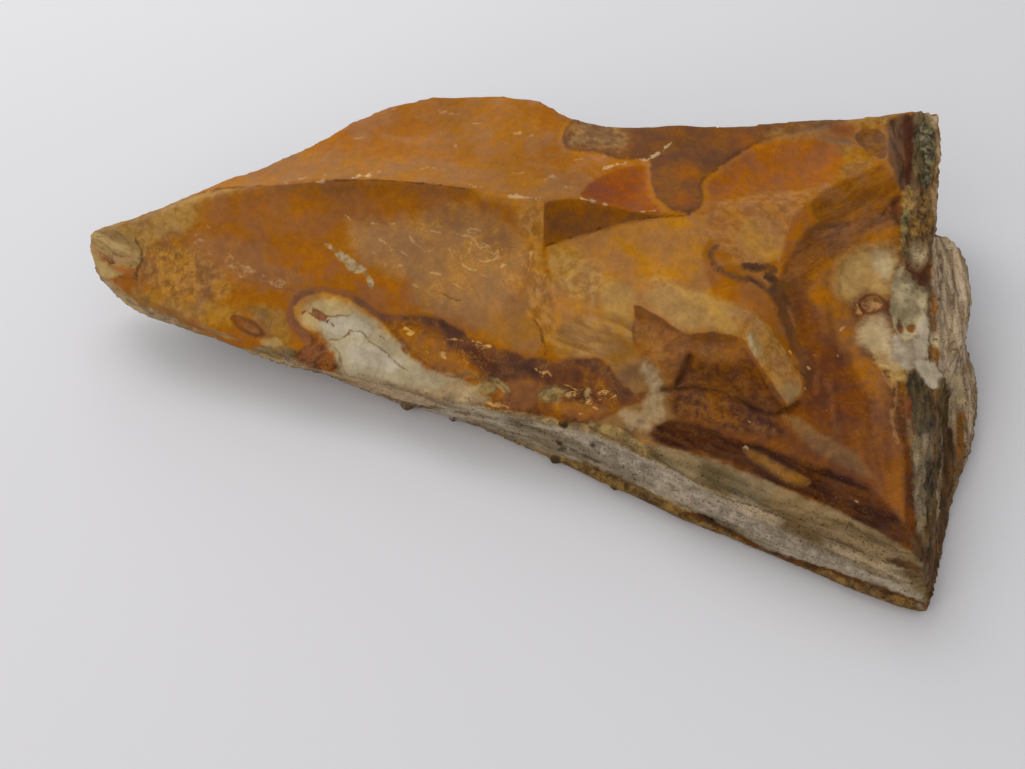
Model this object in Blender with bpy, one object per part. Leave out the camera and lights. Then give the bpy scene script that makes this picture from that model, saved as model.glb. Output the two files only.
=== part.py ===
import bpy
import bmesh
import math
from mathutils import Vector, noise

for old_object in list(bpy.data.objects):
    bpy.data.objects.remove(old_object)

# All sizes below are in millimetres and turn into metres where the mesh is made
MM = 0.001

# Lines from the thin tip to the broad end: station along, distance across, height
BACK_EDGE = [(-134, 41, 33), (-121, 42, 38), (-102, 47, 44), (-80, 52.4, 50.4),
             (-63, 60.5, 54.5), (-45, 71.6, 57.6), (-38, 74.2, 58.1), (-27, 77.2, 58.3),
             (-9, 77.7, 58.3), (3, 76.2, 57.2), (11, 71, 55), (21, 69, 53), (63, 70, 52),
             (96, 73, 53), (113, 75, 54), (124, 79, 50)]
CREST = [(-134, 39, 33), (-121, 39, 38), (-106, 40, 45), (-89, 41, 51), (-71, 40, 55.5),
         (-53, 38, 58.5), (-29, 33, 61), (-9, 28, 62), (4, 23, 62), (12, 26, 61), (22, 25, 59),
         (30, 25, 57), (44, 26, 55), (62, 31, 54), (79, 34, 53), (98, 42, 50), (111, 47, 49),
         (118, 46, 44), (124, 40, 38)]
STEP_FOOT = [(4, 16, 52), (10, 19.5, 52.5), (18, 22, 53), (26, 24, 54), (34, 25, 54.5),
             (44, 25, 54.5), (61, 22, 52), (80, 24, 49), (98, 31, 46.5), (111, 36, 45),
             (118, 34, 41), (124, 30, 35.5)]
SHELF_BROW = [(4, 0, 39), (12, 0, 41), (20, 0, 42), (32, 0, 43), (38, -5, 43.5),
              (46, -11, 43.5), (54, -11, 43.5), (62, -13, 42.5), (66, -19.5, 40),
              (69, -25, 37), (72, -29.5, 34), (76, -31, 31.5), (80, -24, 33), (88, -10, 36),
              (100, -5, 37.5), (111, -8, 37), (118, -10, 33.5), (124, -14, 28)]
SHELF_BACK = [(4, -14, 30), (20, -21, 31), (32, -24, 30.5), (40, -23, 30.5), (47, -21.5, 31),
              (54, -22.5, 31), (60, -25, 30), (70, -31.5, 29), (76, -33.5, 28.5),
              (90, -37, 30), (111, -42, 30.5), (118, -43, 25), (124, -45, 16)]
FRONT_RIM = [(-134, 35, 24), (-127, 27, 24), (-115, 19, 23), (-106, 14, 21.5), (-97, 11, 20),
             (-80, 4, 18), (-56, -4, 17), (-40, -10, 17), (-19, -18, 18), (-3, -23, 18.5),
             (9, -26, 19), (33, -35, 20), (50, -47, 21), (74, -57, 23), (94, -65, 24),
             (111, -73, 25), (118, -75, 15), (124, -77, 5)]
FRONT_FOOT = [(-135, 38, 17), (-129, 29, 15), (-121, 23, 13), (-110, 20, 11), (-88, 13, 7),
              (-66, 7, 4.5), (-41, -4, 2), (-16, -12, 1), (3, -22.8, 1), (12, -28.2, 1),
              (22, -34.5, 1), (34, -40.6, 1), (46, -47.8, 1), (58, -52.8, 1), (71, -59, 1),
              (83, -64.6, 1), (95, -70.8, 1), (101, -73.6, 1), (107, -75.6, 1),
              (113, -77.8, 1), (119, -78.8, 1), (124, -79.2, 1)]
BACK_FOOT = [(-134, 42, 21), (-110, 46, 15), (-80, 56, 9), (-45, 74, 4), (-16, 80, 1.5),
             (10, 76, 1), (60, 75, 1), (100, 78, 1), (124, 80, 1)]

# Depth of the hollows between two lines, by station
SCAR_HOLLOW = [(-134, 1), (-100, 3), (-60, 6), (-28, 7), (-10, 4), (4, 0.5)]
CREST_BROW = [(-134, 0), (-110, 1), (-60, 3.5), (-10, 4), (4, 4)]
TOP_HOLLOW = [(-134, 0), (-60, 1), (-20, 1.5), (15, 0.5), (40, 1), (75, 3), (100, 2.5), (111, 0)]
SHELF_HOLLOW = [(4, 0.5), (30, -0.5), (60, -0.5), (76, 1), (98, 1.5), (111, 1)]
RIM_HOLLOW = [(4, 0.5), (40, 1.5), (90, 2.5), (111, 1)]
BROW_HOLLOW = 0.6

# Hollows (depth above 0) and swells: x, across, half length, half width, depth
HOLLOWS = [(72, 46, 30, 15, 2.2), (100, 36, 15, 13, 2.5), (101, 6, 17, 24, 3.5),
           (79, -6, 8, 24, 2.2), (64, -6, 13, 13, -1.6), (-3, 52, 22, 12, -0.8),
           (-128, 35, 9, 9, -1.2), (36, 47, 16, 9, 1.4), (92, -52, 22, 10, 1.2)]

# Outward shape of the walls from rim to foot: share of the height, distance
FRONT_WALL = [(0.10, 0.4), (0.30, 0.7), (0.38, 1.7), (0.62, 1.8), (0.70, 0.6), (0.80, 0.5),
              (0.86, 1.2), (0.94, 0.9)]
BACK_WALL = [(0.07, 0.8), (0.20, 2.0), (0.42, 2.6), (0.47, 0.8), (0.70, 1.6), (0.76, -0.4)]

# Notches worn into the broad end's edge: distance across, depth
END_TRIM = [(-80, 3.1), (-77, 2.6), (-73.5, 1.1), (-70, 0.2), (-66, 0), (33, 0), (38, 1.1),
            (47, 1.1), (51, 0.4), (54, 0.6), (58, 1.5), (62, 1.2), (66, 0.8), (70, 0)]
TRIM_START = 110

# Rounded caps of both ends: share of the section, distance outward
TIP_CAP = [(0.8, 1.0), (0.4, 1.6)]
END_CAP = [(0.9, 0.6), (0.7, 1.0), (0.4, 0.8)]

# Low lumps all over the broken faces: size, height
LUMPS = [(24, 1.0), (9, 0.4)]
CALM_FROM = 2
CALM_TO = 8
UPWARD = 0.2

STATIONS = 74
TIP_STATION = -133.4
END_STATION = 124
SCAR_END = 3
BROW_SHARE = 0.08
FAN = 0.001
FLAT_DROP = 2.2
SHARP = math.radians(35)
GROUND_BLOCK = Vector((400, 300, 40))

# Number of points across each strip of a section
TOP_POINTS = 8
STEP_POINTS = 3
SHELF_POINTS = 9
BROW_POINTS = 5
FLANK_POINTS = 6
SCAR_POINTS = 20
UNDER_POINTS = 12

# Middle of the stone's bounds, which becomes the origin
MIDDLE = Vector((0.417, 1.112, 0))


def along(line, station):
    if station <= line[0][0]:
        return line[0][1:]
    for low, high in zip(line, line[1:]):
        if station <= high[0]:
            share = (station - low[0]) / (high[0] - low[0])
            return tuple(a + (b - a) * share for a, b in zip(low[1:], high[1:]))
    return line[-1][1:]


def blend(start, finish, share):
    return tuple(a + (b - a) * share for a, b in zip(start, finish))


def span(start, finish, count, hollow):
    points = []
    for step in range(count):
        share = step / count
        across, height = blend(start, finish, share)
        points.append((across, height - 4 * hollow * share * (1 - share)))
    return points


def wall(start, finish, shape, outward):
    points = [start]
    for share, bulge in shape:
        across, height = blend(start, finish, share)
        points.append((across + outward * bulge, height))
    return points


def scar_point(station, share):
    crest = along(CREST, station)
    rim = along(FRONT_RIM, station)
    across, height = blend(crest, rim, share)
    hollow = along(SCAR_HOLLOW, station)[0] * 4 * share * (1 - share)
    brow = along(CREST_BROW, station)[0] * min(1, share / BROW_SHARE) * (1 - share)
    return across, height - hollow - brow


def section(station):
    crest = along(CREST, station)
    edge = along(BACK_EDGE, station)
    rim = along(FRONT_RIM, station)
    foot = along(FRONT_FOOT, station)
    back = along(BACK_FOOT, station)
    if station < SCAR_END:
        shares = [BROW_SHARE / 2, BROW_SHARE]
        for step in range(1, SCAR_POINTS):
            shares.append(BROW_SHARE + (1 - BROW_SHARE) * step / SCAR_POINTS)
        front = [crest] + [scar_point(station, share) for share in shares]
        front = front + [blend(front[-1], rim, 0.5)]
    else:
        step_foot = along(STEP_FOOT, station)
        brow = along(SHELF_BROW, station)
        shelf = along(SHELF_BACK, station)
        front = span(crest, step_foot, STEP_POINTS, 0)
        front = front + span(step_foot, brow, SHELF_POINTS, along(SHELF_HOLLOW, station)[0])
        front = front + span(brow, shelf, BROW_POINTS, BROW_HOLLOW)
        front = front + span(shelf, rim, FLANK_POINTS, along(RIM_HOLLOW, station)[0])
    ring = wall(back, edge, [(1 - share, bulge) for share, bulge in reversed(BACK_WALL)], 1)
    ring = ring + span(edge, crest, TOP_POINTS, along(TOP_HOLLOW, station)[0])
    ring = ring + front
    ring = ring + wall(rim, foot, FRONT_WALL, -1)
    ring = ring + under(foot, back, UNDER_POINTS)
    return ring


def under(foot, back, count):
    points = []
    for step in range(count):
        share = step / count
        across, height = blend(foot, back, share)
        points.append((across, height - FLAT_DROP * math.sin(math.pi * share)))
    return points


def place(station, ring):
    near_end = max(0, (station - TRIM_START) / (END_STATION - TRIM_START))
    points = []
    for across, height in ring:
        x = station * (1 + FAN * across) - along(END_TRIM, across)[0] * near_end
        points.append(Vector((x, across, height)))
    return points


def close_end(ring, outward, shares):
    middle = sum(ring, Vector()) / len(ring)
    rings = []
    for share, push in shares:
        rings.append([middle.lerp(point, share) + Vector((outward * push, 0, 0)) for point in ring])
    return rings, middle + Vector((outward * shares[-1][1], 0, 0))


def skin(rings, first_point, last_point):
    shape = bmesh.new()
    rows = [[shape.verts.new(point) for point in ring] for ring in rings]
    count = len(rows[0])
    for row, following in zip(rows, rows[1:]):
        for step in range(count):
            other = (step + 1) % count
            shape.faces.new((row[step], row[other], following[other], following[step]))
    for row, point in ((rows[0], first_point), (rows[-1], last_point)):
        tip = shape.verts.new(point)
        for step in range(count):
            shape.faces.new((row[step], row[(step + 1) % count], tip))
    bmesh.ops.recalc_face_normals(shape, faces=shape.faces)
    return shape


def finished(shape, name):
    bmesh.ops.translate(shape, vec=-MIDDLE, verts=shape.verts)
    bmesh.ops.scale(shape, vec=(MM, MM, MM), verts=shape.verts)
    mesh = bpy.data.meshes.new(name)
    shape.to_mesh(mesh)
    shape.free()
    mesh.shade_smooth()
    mesh.set_sharp_from_angle(angle=SHARP)
    body = bpy.data.objects.new(name, mesh)
    bpy.context.scene.collection.objects.link(body)
    return body


# Main body as a skin over cross sections
spacing = (END_STATION - TIP_STATION) / (STATIONS - 1)
stations = [TIP_STATION + spacing * step for step in range(STATIONS)]
rings = [place(station, section(station)) for station in stations]
tip_rings, tip_point = close_end(rings[0], -1, TIP_CAP)
end_rings, end_point = close_end(rings[-1], 1, END_CAP)
rings = list(reversed(tip_rings)) + rings + end_rings
body_shape = skin(rings, tip_point, end_point)

# Hollows, swells and low lumps, faded out towards the resting face
body_shape.normal_update()
moves = []
for vertex in body_shape.verts:
    move = sum(height * noise.noise(vertex.co / size) for size, height in LUMPS)
    if vertex.normal.z > UPWARD:
        for x, across, half_length, half_width, depth in HOLLOWS:
            reach = ((vertex.co.x - x) / half_length) ** 2 + ((vertex.co.y - across) / half_width) ** 2
            if reach < 1:
                move -= depth * (1 - reach) ** 2
    fade = min(1, max(0, (vertex.co.z - CALM_FROM) / (CALM_TO - CALM_FROM)))
    moves.append(vertex.normal * move * fade)
for vertex, move in zip(body_shape.verts, moves):
    vertex.co += move
stone = finished(body_shape, "jasper_stone")

# Beds that stand out at the broad end, each section as x and height
MIDDLE_BED = [(47, [(100, -3), (100, 30), (126, 30), (132, 26), (134, 20), (134, -3)]),
              (44, [(100, -3), (100, 31), (127, 31), (137, 27), (139.6, 21), (138, -3)]),
              (34, [(100, -3), (100, 31), (127, 31), (139.5, 27), (141.4, 21), (139, -3)]),
              (19, [(100, -3), (100, 30), (125, 30), (138.4, 26), (139.2, 19), (137, -3)]),
              (4, [(100, -3), (100, 29), (123, 29), (133, 25), (134.6, 18), (133, -3)]),
              (-9, [(100, -3), (100, 26), (121, 26), (127, 22), (129, 16), (129, -3)]),
              (-18, [(100, -3), (100, 20), (117, 20), (120, 17), (122, 12), (122, -3)])]
LOW_BED = [(30, [(100, -3), (100, 12), (133, 12), (136, 10), (137, 5), (136, -3)]),
           (12, [(100, -3), (100, 12), (136, 12), (139, 10), (140.5, 5), (139, -3)]),
           (0, [(100, -3), (100, 12), (135, 12), (140, 10), (141.4, 5), (139, -3)]),
           (-17, [(100, -3), (100, 11), (131, 11), (135.4, 9), (136.9, 4), (135, -3)]),
           (-26, [(100, -3), (100, 10.5), (129.5, 10.5), (132.4, 8), (133.7, 3.5), (132.7, -3)]),
           (-33, [(100, -3), (100, 10), (125.5, 10), (128, 7), (129.3, 3), (128.5, -3)]),
           (-42, [(100, -3), (100, 9), (122, 9), (124.5, 5), (125.4, 2.5), (124.5, -3)]),
           (-50, [(100, -3), (100, 8), (119, 8), (121.7, 4), (122.6, 2), (121.8, -3)]),
           (-56, [(100, -3), (100, 7), (117.5, 6.5), (119.9, 3.5), (120.8, 1.5), (120, -3)]),
           (-62, [(100, -3), (100, 6), (115.8, 5), (118, 3), (118.8, 1), (118, -3)]),
           (-73, [(100, -3), (100, 4), (111.5, 4), (113.7, 2), (114.5, 1), (113.7, -3)])]

for name, sections in (("middle_bed", MIDDLE_BED), ("low_bed", LOW_BED)):
    bed_rings = []
    for across, outline in sections:
        bed_rings.append([Vector((along_x, across, height)) for along_x, height in outline])
    first = sum(bed_rings[0], Vector()) / len(bed_rings[0])
    last = sum(bed_rings[-1], Vector()) / len(bed_rings[-1])
    bed = finished(skin(bed_rings, first, last), name)
    bed.hide_render = True
    bed.display_type = "WIRE"
    joined = stone.modifiers.new(name, "BOOLEAN")
    joined.operation = "UNION"
    joined.solver = "EXACT"
    joined.object = bed

# Flat resting face, cut by a block that ends at height zero
bpy.ops.mesh.primitive_cube_add(size=1, location=(0, 0, -GROUND_BLOCK.z / 2 * MM))
ground = bpy.context.object
ground.name = "ground_cut"
ground.scale = GROUND_BLOCK * MM
ground.hide_render = True
ground.display_type = "WIRE"
flat = stone.modifiers.new("flat", "BOOLEAN")
flat.operation = "DIFFERENCE"
flat.solver = "EXACT"
flat.object = ground

# Stone surface
jasper = bpy.data.materials.new("jasper")
jasper.use_nodes = True
surface = jasper.node_tree.nodes["Principled BSDF"]
surface.inputs["Base Color"].default_value = (0.42, 0.19, 0.05, 1)
surface.inputs["Roughness"].default_value = 0.5
stone.data.materials.append(jasper)
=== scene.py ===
import math
from itertools import product

import bpy
import numpy as np
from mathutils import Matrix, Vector


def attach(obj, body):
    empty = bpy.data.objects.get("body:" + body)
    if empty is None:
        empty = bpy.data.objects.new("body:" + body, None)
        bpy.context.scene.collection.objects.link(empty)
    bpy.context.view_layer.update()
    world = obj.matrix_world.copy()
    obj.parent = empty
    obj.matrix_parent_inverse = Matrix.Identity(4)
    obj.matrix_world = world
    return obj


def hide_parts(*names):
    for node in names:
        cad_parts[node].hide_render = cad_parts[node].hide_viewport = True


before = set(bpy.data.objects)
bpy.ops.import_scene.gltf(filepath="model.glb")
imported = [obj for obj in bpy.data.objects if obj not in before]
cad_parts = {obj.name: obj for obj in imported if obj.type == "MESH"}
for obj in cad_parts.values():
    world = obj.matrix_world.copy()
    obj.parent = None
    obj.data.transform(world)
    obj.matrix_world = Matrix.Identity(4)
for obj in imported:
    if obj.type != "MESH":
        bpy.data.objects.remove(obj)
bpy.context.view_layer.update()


# The stone's body: one natural chunk of bedded jasper, broken to a long wedge
# with a raised tip. Its shape starts as the solid's, is rounded between the
# crisp break lines and brought to an even mesh that is fine enough to carve.

MM = 0.001

bpy.ops.object.select_all(action="DESELECT")
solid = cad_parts["jasper_stone"]
stone = solid.copy()
stone.data = solid.data.copy()
stone.name = "stone"
stone.parent = None
for key in list(stone.keys()):
    del stone[key]
bpy.context.scene.collection.objects.link(stone)
stone.data.materials.clear()
bpy.context.view_layer.objects.active = stone
stone.select_set(True)

# Triangles are joined to flat faces, and only edges that turn more stay crisp
WELD = 0.01
FLATNESS = 0.7
SQUARENESS = 1.2
BREAK_ANGLE = math.radians(30)
BREAK_CREASE = 0.95
bpy.ops.object.mode_set(mode="EDIT")
bpy.ops.mesh.select_mode(type="EDGE")
bpy.ops.mesh.select_all(action="SELECT")
bpy.ops.mesh.remove_doubles(threshold=WELD * MM)
bpy.ops.mesh.tris_convert_to_quads(face_threshold=FLATNESS, shape_threshold=SQUARENESS)
bpy.ops.mesh.select_all(action="DESELECT")
bpy.ops.mesh.edges_select_sharp(sharpness=BREAK_ANGLE)
bpy.ops.transform.edge_crease(value=BREAK_CREASE)
bpy.ops.object.mode_set(mode="OBJECT")

# The grain is the size of the even mesh's faces, in millimetres
GRAIN = 1.02
rounding = stone.modifiers.new("rounding", "SUBSURF")
rounding.levels = rounding.render_levels = 2
bpy.ops.object.modifier_apply(modifier="rounding")
even = stone.modifiers.new("even", "REMESH")
even.mode = "VOXEL"
even.voxel_size = GRAIN * MM
bpy.ops.object.modifier_apply(modifier="even")
ease = stone.modifiers.new("ease", "SMOOTH")
ease.factor = 0.5
ease.iterations = 2
bpy.ops.object.modifier_apply(modifier="ease")


# Where each point of the surface is seen from the front: the outlines of the
# stone's markings are drawn in that view, so they are laid on in it too. The
# back, the underside and the far end have none and get plain bedding.

VIEW_TARGET = np.array([-5.917, -12.612, 20.0])
VIEW_TILT = math.radians(50)
VIEW_DISTANCE = 430.0
FRAME_WIDE = 1025
FRAME_HIGH = 769
LENS = 50
SENSOR = 36
FOCAL = FRAME_WIDE * LENS / SENSOR
view_place = VIEW_TARGET + VIEW_DISTANCE * np.array([0, -math.cos(VIEW_TILT), math.sin(VIEW_TILT)])


def ease_between(low, high, value):
    share = np.clip((value - low) / (high - low), 0, 1)
    return share * share * (3 - 2 * share)


def read_vectors(name):
    flat = np.zeros(len(stone.data.vertices) * 3, np.float32)
    stone.data.vertices.foreach_get(name, flat)
    return flat.reshape(-1, 3).astype(float)


points = read_vectors("co") / MM
normals = read_vectors("normal")
offset = points - view_place
depth = offset @ np.array([0, math.cos(VIEW_TILT), -math.sin(VIEW_TILT)])
rise = offset @ np.array([0, math.sin(VIEW_TILT), math.cos(VIEW_TILT)])
view = np.stack([FRAME_WIDE / 2 + FOCAL * offset[:, 0] / depth,
                 FRAME_HIGH / 2 - FOCAL * rise / depth], 1)
facing = -(normals * offset).sum(1) / np.linalg.norm(offset, axis=1)
TURNED_AWAY = -0.1
TURNED_TO_VIEW = 0.02
in_view = ease_between(TURNED_AWAY, TURNED_TO_VIEW, facing)

# How far along each side of an outline its corners are cut
CORNER = 0.25


def rounded(outline, closed):
    line = np.array(outline, float)
    following = np.roll(line, -1, 0) if closed else line[1:]
    here = line if closed else line[:-1]
    softened = np.stack([(1 - CORNER) * here + CORNER * following,
                         CORNER * here + (1 - CORNER) * following], 1).reshape(-1, 2)
    return softened if closed else np.vstack([line[:1], softened, line[-1:]])


SHORTEST = 1e-9


def nearest_offset(line, closed, at):
    best = np.full(len(at), np.inf)
    best_offset = np.zeros((len(at), 2))
    ends = np.roll(line, -1, 0) if closed else line[1:]
    starts = line if closed else line[:-1]
    for start, end in zip(starts, ends):
        run = end - start
        share = np.clip(((at - start) @ run) / max(run @ run, SHORTEST), 0, 1)
        gap = at - start - share[:, None] * run
        length = (gap * gap).sum(1)
        nearer = length < best
        best[nearer] = length[nearer]
        best_offset[nearer] = gap[nearer]
    return best_offset


REACH = 30.0


def near(line):
    low, high = line.min(0) - REACH, line.max(0) + REACH
    return np.nonzero(((view > low) & (view < high)).all(1) & (in_view > 0))[0]


def inside(outlines, crisp):
    best = np.full(len(view), -REACH)
    for outline in outlines:
        line = np.array(outline, float) if crisp else rounded(outline, True)
        picked = near(line)
        at = view[picked]
        within = np.zeros(len(at), bool)
        for start, end in zip(line, np.roll(line, -1, 0)):
            if start[1] == end[1]:
                continue
            crossed = (start[1] > at[:, 1]) != (end[1] > at[:, 1])
            side = start[0] + (at[:, 1] - start[1]) * (end[0] - start[0]) / (end[1] - start[1])
            within ^= crossed & (at[:, 0] < side)
        gap = np.linalg.norm(nearest_offset(line, True, at), axis=1)
        best[picked] = np.maximum(best[picked], np.where(within, gap, -gap))
    return best - REACH * (1 - in_view)


# Beyond these gaps from a vein it counts as far away, whichever side it is on
CLEAR = 12.0
CLEAR_FROM = 4
CLEAR_TO = 7


def beside(lines):
    best = np.tile([0.0, 0.0, CLEAR], (len(view), 1))
    for drawn in lines:
        line = rounded(drawn, False)
        picked = near(line)
        gap = nearest_offset(line, False, view[picked])
        away = ease_between(CLEAR_FROM, CLEAR_TO, np.linalg.norm(gap, axis=1))[:, None]
        found = np.hstack([gap * (1 - away), CLEAR * away])
        nearer = np.linalg.norm(found, axis=1) < np.linalg.norm(best[picked], axis=1)
        best[picked[nearer]] = found[nearer]
    best[:, 2] += CLEAR * (1 - in_view)
    return best


# Smooth lumps: each corner of a grid leans one of twelve ways, by a stirred code
DIRECTIONS = np.array([way for way in product((-1, 0, 1), repeat=3) if sum(map(abs, way)) == 2])
CELL_CODES = np.array([73856093, 19349663, 83492791])
FIRST_STIR = 2654435761
SECOND_STIR = 2246822519
CODE_MASK = 0xFFFFFFFF
SEED_SHIFT = 17.37
LUMP_GAIN = 1.5


def lumps(size, seed, stretch=(1, 1, 1)):
    grid = points * np.array(stretch) / size + seed * SEED_SHIFT
    cell = np.floor(grid).astype(np.int64)
    part = grid - cell
    fade = part ** 3 * (part * (part * 6 - 15) + 10)
    total = np.zeros(len(points))
    for corner in product((0, 1), repeat=3):
        at = cell + corner
        code = np.bitwise_xor.reduce(at * CELL_CODES, axis=1) * FIRST_STIR & CODE_MASK
        code = (code ^ (code >> 15)) * SECOND_STIR & CODE_MASK
        lean = (DIRECTIONS[(code >> 11) % len(DIRECTIONS)] * (part - corner)).sum(1)
        total += lean * np.where(corner, fade, 1 - fade).prod(1)
    return total * LUMP_GAIN


# The stone's markings: colour zones of the jasper, outlined one by one in the
# front view, among them a few of painted shade and painted highlight. Each zone is
# kept as the distance from its edge, above zero inside it, and the stone's material turns that into
# a stain or a skin.

zones = {}

# Ground tones of the rusty broad end, of its cut edge and of the front wall
zones["rust_base"] = [
    [(652, 396), (668, 388), (700, 386), (740, 394), (774, 412), (800, 402), (808, 370),
     (798, 330), (780, 290), (786, 262), (808, 226), (850, 216), (884, 210), (905, 205),
     (930, 200), (946, 380), (936, 570), (900, 570), (840, 524), (760, 480), (700, 462),
     (650, 442), (636, 430), (644, 410)]]
zones["end_base"] = [
    [(908, 100), (945, 100), (946, 240), (942, 300), (942, 380), (956, 400), (946, 520),
     (934, 620), (914, 606), (912, 560), (908, 440), (903, 300), (904, 200)]]
zones["wall_base"] = [
    [(250, 338), (340, 362), (414, 390), (470, 395), (551, 408), (606, 426), (640, 444),
     (700, 462), (760, 488), (850, 522), (912, 556), (936, 574), (944, 625), (860, 625),
     (700, 550), (560, 490), (400, 435), (240, 380)]]

# Tip, with its rounded knob, olive crest and mottled gold flank
zones["tip_olive"] = [
    [(78, 224), (118, 200), (160, 184), (200, 170), (250, 166), (266, 178), (236, 192),
     (210, 212), (192, 228), (172, 238), (150, 246), (142, 262), (100, 268), (84, 250)]]
zones["knob"] = [
    [(88, 233), (100, 226), (124, 226), (133, 235), (139, 248), (142, 260), (134, 270),
     (118, 276), (104, 280), (94, 264), (89, 246)]]
zones["knob_pink"] = [
    [(92, 247), (100, 250), (110, 256), (118, 260), (127, 257), (133, 249), (136, 254),
     (132, 263), (120, 266), (108, 262), (96, 256)]]
zones["knob_orange"] = [
    [(104, 262), (112, 264), (121, 266), (133, 267), (136, 272), (126, 276), (116, 271)],
    [(98, 254), (106, 256), (108, 262), (101, 262)]]
zones["gold_mottle"] = [
    [(141, 262), (150, 248), (170, 240), (190, 246), (210, 258), (224, 270), (234, 286),
     (228, 300), (206, 302), (184, 300), (160, 296), (146, 286), (136, 276)]]
zones["flank_low"] = [
    [(128, 287), (150, 290), (180, 298), (214, 302), (238, 306), (244, 320), (222, 327),
     (200, 323), (176, 317), (152, 310), (134, 301)]]
zones["bloom"] = [
    [(182, 232), (205, 230), (236, 238), (272, 248), (298, 264), (312, 280), (292, 290),
     (262, 286), (236, 280), (212, 270), (196, 254)]]
zones["amber"] = [
    [(286, 268), (300, 272), (318, 278), (338, 280), (360, 288), (374, 298), (386, 309),
     (400, 313), (412, 311), (411, 298), (409, 278), (400, 284), (386, 276), (366, 268),
     (340, 258), (316, 250), (290, 250), (270, 248), (262, 258)],
    [(706, 262), (716, 270), (724, 276), (742, 282), (756, 286), (768, 300), (778, 312),
     (784, 330), (778, 340), (766, 322), (750, 312), (726, 314), (716, 300), (708, 282)]]
zones["seam"] = [
    [(520, 206), (536, 204), (545, 214), (543, 246), (545, 262), (554, 280), (552, 308),
     (556, 334), (546, 344), (536, 328), (526, 310), (530, 284), (532, 258), (526, 236),
     (514, 220)]]
zones["scar_glow"] = [
    [(204, 197), (240, 191), (280, 190), (306, 196), (300, 210), (320, 226), (342, 228),
     (350, 242), (326, 248), (300, 242), (262, 234), (236, 231), (206, 228), (196, 212)]]
zones["lens"] = [
    [(228, 315), (240, 315), (252, 320), (262, 328), (268, 337), (258, 338), (245, 334),
     (236, 327)]]
zones["lens_glow"] = [
    [(236, 318), (246, 320), (256, 328), (260, 334), (250, 332), (240, 325)]]
zones["khaki"] = [
    [(548, 246), (570, 250), (596, 262), (606, 284), (604, 300), (588, 306), (566, 296),
     (552, 276)],
    [(650, 270), (668, 284), (690, 290), (706, 300), (704, 320), (688, 330), (670, 320),
     (656, 304)]]
zones["khaki_left"] = [
    [(238, 306), (256, 304), (274, 306), (287, 318), (293, 334), (286, 347), (262, 347),
     (268, 331), (256, 321)]]
zones["shelf_pale"] = [
    [(598, 286), (622, 282), (638, 294), (634, 308), (631, 330), (624, 342), (612, 332),
     (604, 312)],
    [(640, 298), (660, 290), (690, 288), (716, 298), (744, 310), (760, 322), (750, 336),
     (730, 334), (704, 331), (690, 332), (676, 326), (660, 314)]]
zones["lobe"] = [
    [(728, 312), (748, 314), (764, 322), (778, 342), (792, 366), (801, 384), (799, 398),
     (787, 409), (776, 396), (762, 374), (752, 356), (742, 338)]]
zones["lobe_pale"] = [
    [(746, 330), (754, 332), (760, 346), (766, 360), (758, 362), (750, 350)],
    [(778, 386), (790, 382), (799, 388), (798, 398), (788, 406), (780, 396)]]
zones["cream_lens"] = [
    [(260, 340), (270, 336), (280, 339), (282, 346), (270, 347), (262, 345)],
    [(194, 322), (210, 328), (228, 335), (240, 342), (226, 339), (206, 331)]]
zones["left_rind"] = [
    [(92, 262), (104, 277), (118, 288), (136, 302), (156, 311), (180, 322), (205, 334),
     (232, 346), (256, 352), (276, 357), (300, 367), (338, 374), (330, 386), (290, 376),
     (230, 360), (180, 340), (140, 322), (110, 312), (92, 292)]]
zones["ring_left"] = [
    [(285, 314), (290, 306), (295, 312), (297, 320), (303, 328), (311, 336), (314, 348),
     (306, 346), (300, 336), (290, 330)]]
zones["rind_pale"] = [
    [(108, 290), (124, 296), (140, 308), (160, 318), (152, 322), (134, 314), (116, 304)]]
zones["scar"] = [
    [(60, 180), (186, 180), (191, 196), (210, 191), (230, 188), (255, 186), (285, 185),
     (315, 182), (345, 179.5), (372, 179), (400, 180.5), (430, 183.5), (465, 188), (500, 193),
     (520, 197.5), (541, 201.5), (560, 206), (620, 226), (640, 330), (540, 380), (400, 390),
     (250, 380), (60, 330)]]

# Long scar, deep orange with painted shade darkening it under the crest, and milky to the right
# Painted shade: a darker band just under the crest, where the steep upper scar turns from the light
zones["under_crest"] = [
    [(262, 164), (300, 160), (345, 158), (400, 160), (450, 168), (478, 180), (474, 196),
     (450, 200), (420, 196), (380, 194), (330, 194), (290, 192), (256, 186)]]
zones["milk"] = [
    [(345, 240), (349, 220), (366, 222), (395, 222), (420, 217), (448, 206), (466, 204),
     (480, 214), (500, 220), (516, 232), (528, 246), (531, 262), (526, 282), (514, 298),
     (497, 309), (476, 315), (456, 313), (436, 308), (422, 299), (412, 290), (406, 278),
     (392, 280), (380, 270), (366, 262), (352, 252)]]
zones["milk_low"] = [
    [(414, 288), (440, 292), (470, 300), (500, 304), (524, 294), (536, 276), (546, 290),
     (548, 320), (544, 346), (528, 354), (508, 348), (486, 336), (466, 322), (440, 314),
     (418, 310), (408, 300)]]
zones["milk_dusk"] = [
    [(478, 218), (498, 220), (514, 234), (516, 252), (504, 262), (490, 258), (480, 242)],
    [(424, 218), (448, 208), (470, 212), (474, 226), (452, 230), (432, 226)]]
# Golden colour with a painted highlight along the right end of the crest
zones["crest_gold"] = [
    [(466, 170), (500, 174), (530, 182), (552, 196), (552, 226), (544, 244), (536, 236),
     (530, 222), (518, 210), (500, 202), (478, 196)]]
zones["crest_band"] = [
    [(180, 200), (214, 166), (262, 142), (300, 146), (330, 156), (380, 156), (440, 160),
     (500, 168), (560, 178), (594, 188), (580, 200), (545, 202), (500, 194), (440, 186),
     (390, 182), (330, 184), (290, 188), (200, 200)]]
zones["facet_glow"] = [
    [(446, 98), (480, 94), (524, 104), (536, 130), (526, 160), (536, 190), (500, 192),
     (470, 172), (452, 150), (440, 125)]]
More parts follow.
